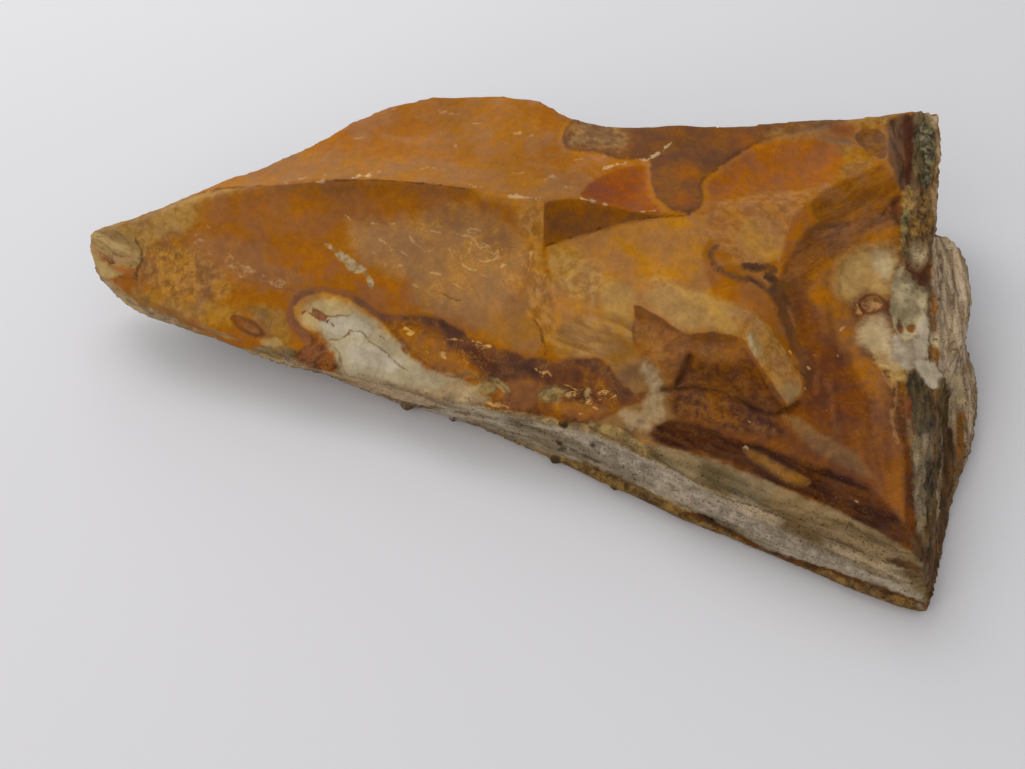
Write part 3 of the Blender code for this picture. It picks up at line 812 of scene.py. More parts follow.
veins["dust"] = [
    [(184, 236), (189, 240)], [(192, 240), (197, 244)], [(196, 236), (203, 241)],
    [(199, 247), (206, 251)], [(206, 253), (212, 255)], [(216, 262), (224, 265)],
    [(220, 256), (226, 262)], [(230, 266), (238, 268)], [(238, 262), (246, 268)],
    [(244, 271), (252, 273)], [(250, 268), (256, 271)], [(258, 275), (266, 276)],
    [(262, 280), (272, 282)], [(270, 284), (282, 287)], [(276, 280), (286, 283)],
    [(228, 252), (236, 262)], [(240, 277), (250, 280)], [(205, 224), (210, 228)],
    [(430, 128), (434, 130)], [(436, 133), (441, 134)], [(440, 113), (447, 112)],
    [(452, 113), (459, 114)], [(515, 134), (522, 133)], [(527, 136), (534, 135)],
    [(455, 147), (463, 148)], [(418, 170), (426, 168)], [(431, 168), (438, 169)],
    [(443, 170), (450, 169)], [(455, 171), (461, 170)], [(300, 179), (308, 178)],
    [(318, 176), (328, 174)], [(338, 171), (350, 170)], [(380, 172), (392, 172)],
    [(543, 181), (548, 177)], [(552, 176), (558, 178)], [(566, 186), (572, 188)],
    [(600, 158), (606, 156)], [(575, 160), (583, 159)], [(512, 172), (524, 172)],
    [(356, 140), (366, 136)], [(384, 112), (396, 109)], [(470, 124), (482, 123)],
    [(952, 256), (954, 262)], [(955, 266), (957, 274)], [(950, 272), (951, 280)],
    [(958, 278), (959, 284)]]
veins["crest_line"] = [
    [(196, 195), (210, 191), (230, 188), (255, 186), (263, 185)],
    [(322, 181), (345, 180), (372, 179.5), (400, 181), (430, 184), (465, 188.5)]]
# Painted shadow: a dark line where the brown face overhangs the bed below it, also cut in as a
# groove
veins["gap"] = [
    [(664, 389), (676, 387), (690, 387), (716, 389), (736, 397), (756, 409), (772, 415),
     (786, 412), (798, 403)],
    [(677, 386), (683, 374), (689, 357)]]
offsets = {name: beside(lines) for name, lines in veins.items()}


# The stone's relief that is too fine for the solid: shell-shaped hollows of the
# broken faces, ripples, worn beds of the walls, cracks, and the crumbs that
# cling to the front foot. It is carved into the even mesh along its normals.

# Lumps: height in millimetres, size in millimetres, seed. Bed lines: height in
# millimetres, turn for each millimetre up, start.
RIPPLES = [(0.35, 14, 1), (0.14, 5, 2), (0.05, 2.6, 8)]
ROUGHNESS = [(1, 2.4, 5), (0.6, 1.5, 6)]
BED_WARPS = [(0.9, 34, 3), (0.35, 12, 9)]
BED_LINES = [(0.3, 2.2, 0), (0.22, 4.9, 1)]
WALL_ROUGHNESS = 0.25
STEEP_SHARE = 0.3
STEEP_FROM = 0.3
STEEP_TO = 0.65
CHALK_CALM = 0.8
CAVITY_CALM = 0.6
SOFT_RIPPLE = 0.3

# Markings: depth or height in millimetres, and the width of the edge in the view
ROUGHENED = [("ironstone", 0.35, 3), ("rust_base", 0.2, 3), ("left_rind", 0.25, 3),
             ("cavity", 0.25, 3), ("chalk", 0.25, 3)]
HOLLOWS = [("arch", 1.3, 14), ("bowl", 1.8, 12), ("small_facet", 0.7, 6), ("red_face", 0.8, 8),
           ("blush", 0.7, 20), ("step", 0.5, 4), ("brown_face", 1.5, 9), ("brown_deep", 1.6, 20),
           ("dish", 1.0, 12), ("cavity", 2.2, 6), ("crevice", 1.6, 4), ("finger", 0.8, 3),
           ("lozenge", 0.25, 3), ("eye", 0.6, 3)]
GROOVES = [("cracks", 0.55, 1.8), ("squiggle", 0.3, 3), ("foot_line", 0.6, 2.5), ("gap", 1.8, 4),
           ("swirls", 0.4, 2)]
SWELLS = [("ironstone", -0.3, 3), ("skin", 0.3, 1.5), ("knob", 0.25, 2), ("halo", 0.4, 3),
          ("lobe", 0.7, 7), ("khaki", 0.35, 12), ("milk", -0.5, 16), ("crumbs", 1.25, 2),
          ("clod", 1.2, 4)]

# The relief fades out just above the table, so that the stone still rests flat
CALM_FROM = 0.2
CALM_TO = 3.0


def heap(kinds, start=0):
    return sum((lift * lumps(size, seed) for lift, size, seed in kinds), start)


def hollow(name, depth, width):
    return -depth * (1 - np.exp(-np.maximum(distances[name], 0) / width))


def groove(name, depth, width):
    gap = np.linalg.norm(offsets[name], axis=1)
    return -depth * np.exp(-(gap / width) ** 2)


def zone(name, soft=3.0):
    return ease_between(-soft, soft, distances[name])


def keep(name, values, kind="FLOAT", field="value"):
    layer = stone.data.attributes.new(name, kind, "POINT")
    layer.data.foreach_set(field, values.astype(np.float32).ravel())


bed_height = heap(BED_WARPS, points[:, 2])
steep = ease_between(STEEP_FROM, STEEP_TO, 1 - np.abs(normals[:, 2]))
hidden_wall = steep * (1 - in_view)
bedded = np.clip(hidden_wall + zone("wall_base") + zone("end_base") + zone("ledge"), 0, 1)
bedded *= 1 - CHALK_CALM * np.maximum(zone("chalk_white"), zone("chalk_lilac"))
bedded *= 1 - CAVITY_CALM * zone("cavity")
rough = heap(ROUGHNESS)

relief = heap(RIPPLES) + (bedded + STEEP_SHARE * steep) * WALL_ROUGHNESS * rough
relief += (zone("milk") + zone("shelf")) * SOFT_RIPPLE * lumps(7, 11, (1, 1.6, 1))
for lift, turns, start in BED_LINES:
    relief += bedded * lift * np.sin(bed_height * turns + start)
for name, lift, width in ROUGHENED:
    relief += lift * zone(name, width) * rough
for name, depth, width in HOLLOWS:
    relief += hollow(name, depth, width)
for name, depth, width in GROOVES:
    relief += groove(name, depth, width)
for name, lift, width in SWELLS:
    relief += lift * zone(name, width)
relief *= ease_between(CALM_FROM, CALM_TO, points[:, 2])
points += normals * relief[:, None]
stone.data.vertices.foreach_set("co", (points * MM).astype(np.float32).ravel())
stone.data.update()

for name, distance in distances.items():
    keep(name, distance)
for name, gap in offsets.items():
    keep(name, gap, "FLOAT_VECTOR", "vector")
keep("in_view", in_view)
keep("bedded", bedded)

bpy.ops.object.shade_smooth()


# The jasper's surface: one material, orange-brown and waxy, over which the
# markings are laid in the order that the real stains and skins cover each other; a few of them are
# painted shade, painted shadow or a painted highlight.


# A tone is given as it looks on a face turned up to the light. The gloss adds
# the same faint pale veil to each channel, so that is taken off here.
VEIL = 0.0055
DARKEST = 0.0015


def tone(shade):
    def linear(value):
        value /= 255
        return value / 12.92 if value <= 0.04045 else ((value + 0.055) / 1.055) ** 2.4
    return tuple(max(linear(value) - VEIL, DARKEST) for value in shade) + (1,)


def new_group(name, inputs, outputs):
    group = bpy.data.node_groups.new(name, "ShaderNodeTree")
    for label, kind, default in inputs:
        socket = group.interface.new_socket(label, in_out="INPUT", socket_type=kind)
        socket.default_value = default
    for label, kind in outputs:
        group.interface.new_socket(label, in_out="OUTPUT", socket_type=kind)
    return group, group.nodes.new("NodeGroupInput"), group.nodes.new("NodeGroupOutput")


# Sockets of a colour mix, which share their names and so go by number
MIX_FIRST = 6
MIX_SECOND = 7
MIX_RESULT = 2

# A stain: two tones mottled together, over the base, with a ragged edge
stain, stain_in, stain_out = new_group(
    "Stain",
    [("Base", "NodeSocketColor", (1, 1, 1, 1)), ("Distance", "NodeSocketFloat", 0),
     ("Ragged", "NodeSocketFloat", 0), ("Raggedness", "NodeSocketFloat", 3),
     ("Softness", "NodeSocketFloat", 1), ("Strength", "NodeSocketFloat", 1),
     ("Mottle", "NodeSocketFloat", 0.5), ("Light", "NodeSocketColor", (1, 1, 1, 1)),
     ("Dark", "NodeSocketColor", (0, 0, 0, 1))],
    [("Color", "NodeSocketColor")])
shifted = stain.nodes.new("ShaderNodeMath")
shifted.operation = "MULTIPLY_ADD"
stain.links.new(stain_in.outputs["Ragged"], shifted.inputs[0])
stain.links.new(stain_in.outputs["Raggedness"], shifted.inputs[1])
stain.links.new(stain_in.outputs["Distance"], shifted.inputs[2])
negative = stain.nodes.new("ShaderNodeMath")
negative.operation = "MULTIPLY"
negative.inputs[1].default_value = -1
stain.links.new(stain_in.outputs["Softness"], negative.inputs[0])
edge = stain.nodes.new("ShaderNodeMapRange")
edge.interpolation_type = "SMOOTHSTEP"
stain.links.new(shifted.outputs[0], edge.inputs["Value"])
stain.links.new(negative.outputs[0], edge.inputs["From Min"])
stain.links.new(stain_in.outputs["Softness"], edge.inputs["From Max"])
held = stain.nodes.new("ShaderNodeMath")
held.operation = "MULTIPLY"
stain.links.new(edge.outputs["Result"], held.inputs[0])
stain.links.new(stain_in.outputs["Strength"], held.inputs[1])
mottled = stain.nodes.new("ShaderNodeMix")
mottled.data_type = "RGBA"
stain.links.new(stain_in.outputs["Mottle"], mottled.inputs["Factor"])
stain.links.new(stain_in.outputs["Dark"], mottled.inputs[MIX_FIRST])
stain.links.new(stain_in.outputs["Light"], mottled.inputs[MIX_SECOND])
laid = stain.nodes.new("ShaderNodeMix")
laid.data_type = "RGBA"
stain.links.new(held.outputs[0], laid.inputs["Factor"])
stain.links.new(stain_in.outputs["Base"], laid.inputs[MIX_FIRST])
stain.links.new(mottled.outputs[MIX_RESULT], laid.inputs[MIX_SECOND])
stain.links.new(laid.outputs[MIX_RESULT], stain_out.inputs["Color"])

jasper = bpy.data.materials.new("jasper")
jasper.use_nodes = True
nodes = jasper.node_tree.nodes
links = jasper.node_tree.links
surface = nodes["Principled BSDF"]
place = nodes.new("ShaderNodeTexCoord")


def cloud(scale, detail, roughness=0.55, distortion=0.0, stretch=None, turn=(0, 0, 0)):
    along = place.outputs["Object"]
    if stretch:
        mapping = nodes.new("ShaderNodeMapping")
        mapping.vector_type = "TEXTURE"
        mapping.inputs["Scale"].default_value = stretch
        mapping.inputs["Rotation"].default_value = turn
        links.new(along, mapping.inputs["Vector"])
        along = mapping.outputs["Vector"]
    made = nodes.new("ShaderNodeTexNoise")
    made.inputs["Scale"].default_value = scale
    made.inputs["Detail"].default_value = detail
    made.inputs["Roughness"].default_value = roughness
    made.inputs["Distortion"].default_value = distortion
    links.new(along, made.inputs["Vector"])
    return made.outputs["Fac"]


def between(value, low, high, start=0.0, finish=1.0):
    made = nodes.new("ShaderNodeMapRange")
    made.interpolation_type = "SMOOTHSTEP"
    made.inputs["From Min"].default_value = low
    made.inputs["From Max"].default_value = high
    made.inputs["To Min"].default_value = start
    made.inputs["To Max"].default_value = finish
    links.new(value, made.inputs["Value"])
    return made.outputs["Result"]


def combine(first, second, operation="ADD"):
    made = nodes.new("ShaderNodeMath")
    made.operation = operation
    for value, socket in ((first, made.inputs[0]), (second, made.inputs[1])):
        if isinstance(value, (int, float)):
            socket.default_value = value
        else:
            links.new(value, socket)
    return made.outputs[0]


def blend(share, first, second):
    made = nodes.new("ShaderNodeMix")
    made.data_type = "RGBA"
    for value, socket in ((share, made.inputs["Factor"]), (first, made.inputs[MIX_FIRST]),
                          (second, made.inputs[MIX_SECOND])):
        if isinstance(value, (int, float, tuple)):
            socket.default_value = value
        else:
            links.new(value, socket)
    return made.outputs[MIX_RESULT]


def mark(name, output="Fac"):
    made = nodes.new("ShaderNodeAttribute")
    made.attribute_name = name
    return made.outputs[output]


# Clouds that the stains share, from broad to fine
broad = cloud(26, 4)
middle = cloud(100, 7, 0.62, 0.4)
small = cloud(380, 6, 0.62, 0.3)
fine = cloud(1400, 5, 0.65)
streak = cloud(260, 6, 0.6, 0.3, stretch=(5, 1, 1), turn=(0, 0, math.radians(-28)))
sweep = cloud(230, 6, 0.6, 0.5, stretch=(4, 1, 1), turn=(0, 0, math.radians(38)))
level = cloud(280, 6, 0.6, 0.3, stretch=(7, 1, 1), turn=(0, 0, math.radians(4)))
grain = cloud(420, 6, 0.62, 0.2, stretch=(1, 9, 1))
layers = cloud(300, 6, 0.6, 0.15, stretch=(8, 8, 1))
MOTTLES = {"broad": between(broad, 0.4, 0.6), "middle": between(middle, 0.34, 0.66),
           "small": between(combine(combine(small, middle), 0.5, "MULTIPLY"), 0.4, 0.6),
           "spots": between(small, 0.38, 0.62),
           "streak": between(streak, 0.36, 0.64), "sweep": between(sweep, 0.36, 0.64),
           "grain": between(grain, 0.36, 0.62), "layers": between(layers, 0.38, 0.62)}
ragged = combine(combine(cloud(230, 7, 0.66), -0.5), combine(combine(small, -0.5), 0.5, "MULTIPLY"))
swing = nodes.new("ShaderNodeCombineXYZ")
links.new(ragged, swing.inputs[0])
links.new(combine(small, -0.5), swing.inputs[1])
wobble = swing.outputs[0]


CLIP_EDGE = 0.8


def lay(base, distance, light, dark, soft=1.5, rag=8.0, strength=1.0, mottle="middle", clip=None):
    held_in = between(mark(clip), -CLIP_EDGE, CLIP_EDGE, 0, strength) if clip else None
    made = nodes.new("ShaderNodeGroup")
    made.node_tree = stain
    links.new(base, made.inputs["Base"])
    links.new(distance, made.inputs["Distance"])
    links.new(ragged, made.inputs["Ragged"])
    made.inputs["Raggedness"].default_value = rag
    made.inputs["Softness"].default_value = soft
    made.inputs["Strength"].default_value = strength
    if clip:
        links.new(held_in, made.inputs["Strength"])
    links.new(MOTTLES[mottle], made.inputs["Mottle"])
    made.inputs["Light"].default_value = tone(light)
    made.inputs["Dark"].default_value = tone(dark)
    return made.outputs["Color"]


def stained(base, name, light, dark, grow=0.0, **finish):
    distance = mark(name)
    if grow:
        distance = combine(distance, grow)
    return lay(base, distance, light, dark, **finish)


def rimmed(base, name, light, dark, width, **finish):
    edge_gap = combine(mark(name), 0, "ABSOLUTE")
    return lay(base, combine(width, edge_gap, "SUBTRACT"), light, dark, **finish)


def veined(base, name, light, dark, width, bend=8.0, **finish):
    offset_drawn = mark(name, "Vector")
    shaken = nodes.new("ShaderNodeVectorMath")
    shaken.operation = "MULTIPLY_ADD"
    links.new(wobble, shaken.inputs[0])
    shaken.inputs[1].default_value = (bend, bend, 0)
    links.new(offset_drawn, shaken.inputs[2])
    gap = nodes.new("ShaderNodeVectorMath")
    gap.operation = "LENGTH"
    links.new(shaken.outputs[0], gap.inputs[0])
    return lay(base, combine(width, gap.outputs["Value"], "SUBTRACT"), light, dark, **finish)


# Orange jasper
colour = blend(MOTTLES["broad"], tone((150, 92, 28)), tone((163, 102, 34)))
colour = blend(between(middle, 0.4, 0.7, 0, 0.6), colour, tone((154, 90, 24)))
colour = blend(between(level, 0.5, 0.68, 0, 0.16), colour, tone((174, 120, 60)))

# How it is laid, the marking, its light and its dark tone, and its finish: a
# width or growth, how soft and how ragged its edge is, its strength and mottle
STAINS = [
    # Ground tones, scar, shelf and the rusty broad end
    (stained, "scar", (150, 92, 30), (140, 82, 22), dict(soft=0.7, rag=2)),
    (stained, "rust_base", (124, 78, 34), (88, 50, 24), dict(soft=4, rag=10, mottle="small")),
    (stained, "end_base", (134, 102, 66), (78, 56, 36), dict(soft=3, rag=4, mottle="grain")),
    (stained, "wall_base", (140, 120, 86), (100, 78, 50), dict(soft=3, rag=6, mottle="layers")),
    (stained, "crest_band", (166, 115, 60), (152, 100, 44), dict(soft=7, rag=12, strength=0.65)),
    # Painted shade under the crest
    (stained, "under_crest", (132, 82, 37), (116, 70, 29),
     dict(soft=10, rag=8, strength=0.7, clip="scar")),
    (stained, "facet_glow", (154, 98, 26), (146, 90, 20), dict(soft=14, rag=16, strength=0.7)),
    (stained, "shelf", (176, 120, 50), (160, 104, 40), dict(soft=3, rag=6)),
    (stained, "tip_olive", (166, 132, 78), (142, 104, 50),
     dict(soft=9, rag=22, strength=0.8, mottle="small", clip="scar")),
    (stained, "gold_mottle", (168, 120, 58), (128, 84, 38),
     dict(soft=8, rag=22, strength=0.85, mottle="small")),
    (stained, "bloom", (158, 110, 70), (136, 88, 48), dict(soft=10, rag=24, strength=0.7)),
    (stained, "milk_low", (154, 108, 56), (138, 94, 46), dict(soft=9, rag=16, strength=0.85)),
    (stained, "milk", (170, 124, 74), (150, 106, 58), dict(soft=13, rag=22, strength=0.9)),
    (stained, "milk_dusk", (144, 98, 54), (126, 82, 42), dict(soft=9, rag=16, strength=0.7)),
    # Golden crest colour with a painted highlight
    (stained, "crest_gold", (186, 128, 50), (156, 98, 34),
     dict(soft=7, rag=10, strength=0.8, clip="scar")),
    (stained, "amber", (166, 100, 25), (146, 84, 19), dict(soft=6, rag=16, strength=0.85)),
    (stained, "scar_glow", (160, 98, 31), (146, 86, 23), dict(soft=10, rag=16, strength=0.85)),
    (stained, "flank_low", (160, 114, 52), (136, 94, 42), dict(soft=5, rag=14, mottle="small")),
    (stained, "seam", (174, 122, 58), (144, 94, 38), dict(soft=5, rag=10, mottle="grain")),
    (stained, "khaki", (176, 136, 78), (150, 106, 50),
     dict(soft=9, rag=20, strength=0.85, mottle="small")),
    (stained, "khaki_left", (146, 108, 56), (124, 90, 44),
     dict(soft=6, rag=16, strength=0.85, mottle="small")),
    (stained, "shelf_pale", (182, 142, 82), (158, 118, 58), dict(soft=7, rag=14, strength=0.85)),
    (stained, "lobe", (166, 120, 64), (148, 100, 44), dict(soft=2, rag=8, mottle="small")),
    (stained, "lobe_pale", (158, 132, 88), (138, 108, 64), dict(soft=4, rag=12, strength=0.8)),
    (stained, "lens", (116, 70, 36), (92, 54, 28), dict(soft=2, rag=6)),
    (stained, "lens_glow", (142, 92, 46), (124, 76, 36), dict(soft=3, rag=6, mottle="streak")),
    (stained, "cream_lens", (164, 132, 84), (138, 106, 58), dict(soft=2, rag=8)),
    (stained, "film", (172, 156, 124), (146, 120, 82),
     dict(soft=1.5, rag=12, strength=0.85, mottle="spots")),
    (stained, "streaks", (170, 124, 66), (136, 94, 46), dict(soft=6, rag=12, mottle="streak")),
    (stained, "blush", (168, 114, 58), (152, 96, 40), dict(soft=4, rag=10, mottle="small")),
    (stained, "blush_khaki", (178, 132, 68), (158, 108, 50), dict(soft=6, rag=14, strength=0.8)),
    (stained, "orange_strip", (160, 98, 35), (138, 80, 27), dict(soft=3, rag=8)),
    (stained, "brown_face", (142, 90, 46), (120, 74, 36), dict(soft=1, rag=4, mottle="small")),
    # Painted shade along the brown face's upper edge
    (stained, "face_edge", (126, 78, 30), (110, 66, 24),
     dict(soft=2.5, rag=6, strength=0.8, clip="brown_face")),
    (stained, "face_pale", (152, 104, 56), (134, 88, 44),
     dict(soft=6, rag=14, strength=0.75, mottle="small", clip="brown_face")),
    (stained, "brown_deep", (114, 68, 26), (84, 46, 18),
     dict(soft=6, rag=8, mottle="small", clip="brown_face")),
    (stained, "rust", (120, 72, 35), (98, 55, 28), dict(soft=4, rag=16)),
    (stained, "joint", (140, 104, 64), (108, 74, 42), dict(soft=6, rag=14)),
    (stained, "rust_deep", (112, 62, 29), (86, 43, 20), dict(soft=9, rag=16, strength=0.75)),
    (stained, "rust_edge", (130, 82, 44), (108, 64, 38), dict(soft=4, rag=10)),
    (stained, "bowl_foot", (136, 86, 44), (100, 62, 34), dict(soft=5, rag=14, mottle="sweep")),
    (stained, "bowl", (142, 87, 23), (112, 66, 19), dict(soft=3, rag=8, mottle="sweep")),
    (stained, "arch_rim", (158, 108, 44), (142, 92, 32), dict(soft=3, rag=10, mottle="small")),
    (stained, "rust_gold", (170, 107, 38), (138, 86, 31), dict(soft=8, rag=18, strength=0.8)),
    (stained, "bed_gold", (120, 76, 38), (74, 42, 28), dict(soft=5, rag=12, mottle="small")),
    (stained, "wedge", (134, 100, 66), (108, 76, 46), dict(soft=4, rag=10, strength=0.8)),
    (stained, "bed_dark", (86, 50, 26), (52, 28, 18), dict(soft=4, rag=10, mottle="streak")),

    # Facets and skin of the top right
    (stained, "red_face", (154, 85, 25), (138, 71, 21), dict(soft=1.2, rag=3)),
    (stained, "red_core", (142, 72, 23), (128, 60, 21), dict(soft=9, rag=8)),
    # Brown step with painted shade on its steep face
    (stained, "step", (144, 86, 28), (116, 68, 20), dict(soft=0.8, rag=1.5)),
    (stained, "arch", (160, 96, 38), (144, 80, 26), dict(soft=3, rag=6)),
    (stained, "skin", (180, 116, 38), (164, 96, 28), dict(grow=5, soft=4, rag=10, strength=0.7)),
    (stained, "skin", (128, 80, 40), (104, 62, 30), dict(soft=1.4, rag=8)),
    (stained, "skin_olive", (156, 120, 72), (124, 84, 46),
     dict(soft=8, rag=22, strength=0.85, mottle="small")),
    (stained, "skin_tail", (142, 104, 72), (120, 86, 56), dict(soft=3, rag=8)),
    (stained, "glow", (146, 84, 32), (124, 68, 26), dict(soft=6, rag=12)),
    (rimmed, "skin", (92, 58, 34), (76, 46, 28), dict(width=1.2, soft=2, rag=9, strength=0.4)),
    (stained, "small_facet", (130, 86, 42), (114, 72, 34), dict(soft=2.5, rag=6, mottle="small")),
    (rimmed, "small_facet", (186, 144, 88), (160, 116, 62),
     dict(width=0.4, soft=1.2, rag=12, strength=0.35)),
    (stained, "band_plum", (104, 74, 50), (66, 42, 30), dict(soft=3, rag=8, mottle="grain")),
    (stained, "band_red", (90, 50, 30), (72, 38, 24), dict(soft=2.5, rag=6)),
    (stained, "edge_tan", (184, 150, 102), (130, 100, 66), dict(soft=2, rag=8, mottle="grain")),
    (stained, "band_ink", (112, 94, 62), (48, 42, 30), dict(soft=2, rag=10, mottle="grain")),
    (stained, "ink_specks", (150, 140, 104), (56, 50, 36),
     dict(soft=3, rag=14, strength=0.8, mottle="spots")),
    (stained, "strip_ochre", (144, 108, 58), (86, 62, 36), dict(soft=2.5, rag=12, mottle="spots")),
    (stained, "strip_green", (136, 118, 74), (62, 54, 34), dict(soft=2, rag=10, mottle="small")),
    # Brown crevices with painted shade
    (stained, "crevice", (126, 72, 34), (88, 48, 24), dict(soft=2.5, rag=8)),

    # Broad end
    (stained, "dish", (188, 156, 98), (158, 117, 58), dict(soft=11, rag=10)),
    (stained, "dish_pale", (192, 176, 134), (168, 146, 106), dict(soft=6, rag=8, strength=0.75)),
    (stained, "cavity", (184, 166, 130), (126, 108, 74), dict(soft=3, rag=12)),
    (stained, "cavity_pits", (128, 84, 44), (58, 50, 36), dict(soft=2.5, rag=8)),
    (stained, "cream_tail", (180, 146, 88), (150, 108, 50), dict(soft=4, rag=12, mottle="small")),
    (stained, "chalk", (202, 182, 142), (172, 144, 98), dict(soft=9, rag=14)),
    (stained, "chalk_lilac", (178, 162, 138), (142, 122, 96), dict(soft=2.5, rag=12)),
    (stained, "chalk_white", (196, 182, 156), (170, 152, 124), dict(soft=1.5, rag=8)),
    (stained, "eye", (160, 116, 66), (112, 70, 34), dict(soft=1.5, rag=8, mottle="spots")),
    (rimmed, "eye", (122, 64, 26), (94, 48, 20), dict(width=1.6, soft=1.5, rag=9, strength=0.85)),
    (stained, "red_line", (110, 62, 28), (78, 44, 24), dict(soft=2, rag=6)),
    (stained, "ember_spot", (142, 76, 32), (112, 58, 26), dict(soft=3, rag=6)),
    (stained, "end_olive", (100, 80, 48), (60, 46, 30), dict(soft=2.5, rag=6, mottle="grain")),
    (stained, "end_grey", (152, 132, 102), (112, 95, 72), dict(soft=2, rag=8, mottle="grain")),
    (stained, "finger", (104, 86, 60), (54, 48, 38), dict(soft=2.5, rag=8, mottle="grain")),
    (stained, "ledge", (192, 168, 136), (134, 110, 82), dict(soft=1, rag=2, mottle="grain")),
    (stained, "ledge_dark", (108, 78, 48), (72, 50, 32), dict(soft=3, rag=6, mottle="grain")),
    (stained, "ledge_orange", (146, 98, 48), (112, 76, 38), dict(soft=3, rag=8, mottle="grain")),
    (stained, "ledge_cream", (200, 178, 136), (170, 146, 106), dict(soft=2.5, rag=9)),
    (veined, "ledge_lines", (96, 68, 44), (62, 44, 30),
     dict(width=1.1, soft=2, rag=8, strength=0.75)),
    (veined, "tail_lines", (192, 158, 100), (160, 118, 60),
     dict(width=0.9, soft=2.5, rag=10, strength=0.6)),
    (veined, "rust_runs", (96, 50, 24), (80, 40, 20),
     dict(width=1.6, soft=4, rag=14, strength=0.5)),
    (veined, "gold_runs", (152, 94, 42), (134, 82, 34),
     dict(width=1.4, soft=4, rag=14, strength=0.45)),

    # Front wall and rinds
    (stained, "wall_grey", (166, 151, 128), (116, 100, 76),
     dict(soft=2.5, rag=8, mottle="layers")),
    (stained, "wall_lilac", (166, 151, 132), (126, 112, 94),
     dict(soft=4, rag=12, strength=0.85, mottle="small")),
    (stained, "wall_shade", (122, 108, 84), (90, 76, 56),
     dict(soft=4, rag=10, strength=0.75, mottle="layers")),
    (stained, "wall_olive", (142, 118, 84), (102, 82, 54), dict(soft=2.5, rag=7, mottle="layers")),
    (stained, "wall_green", (102, 88, 60), (64, 56, 36),
     dict(soft=4, rag=10, strength=0.75, mottle="layers")),
    (stained, "wall_peach", (186, 162, 128), (152, 132, 102),
     dict(soft=4, rag=10, strength=0.8, mottle="layers")),
    (stained, "corner_dark", (114, 80, 48), (80, 54, 32), dict(soft=2.5, rag=7)),
    (stained, "wall_foot", (138, 108, 62), (84, 62, 36), dict(soft=1.8, rag=8, mottle="small")),
    (stained, "lip", (164, 134, 88), (120, 90, 52), dict(soft=4, rag=12, mottle="small")),
    (stained, "wall_blotch", (60, 50, 36), (36, 30, 22), dict(soft=2, rag=9)),
    (stained, "left_rind", (164, 138, 100), (122, 96, 66), dict(soft=2.5, rag=9, mottle="small")),
    (stained, "rind_pale", (170, 148, 108), (146, 122, 86), dict(soft=3, rag=10)),
    (stained, "knob", (174, 144, 88), (142, 110, 62), dict(soft=2.5, rag=5, mottle="streak")),
    (stained, "crumbs", (70, 57, 40), (42, 34, 25), dict(grow=1.2, soft=1.5, rag=6)),
    (stained, "clod", (160, 112, 66), (110, 76, 44), dict(soft=2, rag=8, mottle="spots")),
    (stained, "knob_pink", (184, 144, 98), (156, 114, 68), dict(soft=2, rag=5)),
    (stained, "knob_orange", (176, 112, 52), (136, 80, 36), dict(soft=3, rag=9)),

    # Ironstone and porcelain
    (stained, "ironstone", (134, 82, 36), (88, 48, 26), dict(soft=2, rag=12)),
    (stained, "ember", (156, 101, 44), (122, 73, 34), dict(soft=5, rag=14)),
    (stained, "plum", (112, 72, 46), (72, 44, 33), dict(soft=3.5, rag=14)),
    (stained, "plum_core", (80, 47, 33), (67, 38, 28), dict(soft=5, rag=12, strength=0.85)),
    (stained, "plum_line", (100, 62, 38), (76, 46, 30), dict(soft=3, rag=12, strength=0.75)),
    (stained, "green_lens", (158, 132, 84), (112, 86, 46), dict(soft=3, rag=12, mottle="small")),
    (rimmed, "green_lens", (104, 76, 46), (74, 52, 32),
     dict(width=0.6, soft=1.2, rag=9, strength=0.5)),
    (stained, "pale_ridge", (176, 148, 98), (140, 108, 62), dict(soft=1.5, rag=8)),
    (stained, "lilac", (160, 134, 100), (137, 111, 79), dict(soft=4, rag=14, mottle="small")),
    (stained, "lined_rind", (166, 142, 110), (122, 98, 72),
     dict(soft=2.5, rag=10, mottle="layers")),
    (stained, "halo", (178, 128, 58), (148, 98, 38), dict(soft=3, rag=6)),
    (stained, "halo_pale", (188, 162, 114), (166, 138, 88), dict(soft=5, rag=10)),
    (stained, "cream_foot", (178, 154, 114), (150, 122, 82), dict(soft=4, rag=12)),
    (stained, "tongue", (152, 92, 46), (94, 56, 32), dict(soft=2, rag=8, mottle="sweep")),
    (stained, "porcelain", (178, 163, 132), (150, 130, 94), dict(soft=5, rag=14)),
    (stained, "porcelain_core", (188, 176, 154), (166, 152, 126),
     dict(soft=4, rag=14, strength=0.85)),
    (stained, "lozenge", (138, 94, 40), (120, 78, 30), dict(soft=2, rag=3, mottle="small")),
    (rimmed, "lozenge", (80, 52, 36), (60, 38, 28), dict(width=2.5, soft=3, rag=6, strength=0.5)),

    # Veins and cracks, and the painted shadow lines along the gap and the foot
    (stained, "ring_left", (132, 84, 54), (100, 62, 40), dict(soft=2, rag=8)),
    (veined, "ring", (134, 86, 56), (102, 64, 44), dict(width=3, soft=2, rag=6, strength=0.9)),
    (veined, "squiggle", (118, 80, 48), (88, 56, 34), dict(width=3.0, soft=2.5, rag=12)),
    (veined, "squiggle_bar", (110, 72, 42), (80, 52, 32), dict(width=4.2, soft=2.5, rag=10)),
    (veined, "threads", (122, 100, 64), (90, 70, 42),
     dict(width=0.9, soft=1.2, rag=6, strength=0.8)),
    (veined, "red_bits", (122, 66, 36), (84, 42, 26),
     dict(width=1.4, soft=1.2, rag=12, strength=0.85, mottle="spots")),
    (veined, "crest_line", (106, 62, 26), (80, 44, 18),
     dict(width=0.7, soft=1, rag=9, strength=0.7, bend=3)),
    (veined, "swirls", (116, 84, 48), (90, 62, 34),
     dict(width=0.5, soft=1.4, rag=9, strength=0.6, bend=4)),
    (veined, "cracks", (84, 56, 30), (52, 34, 18), dict(width=0.6, soft=1, rag=9, strength=0.7)),
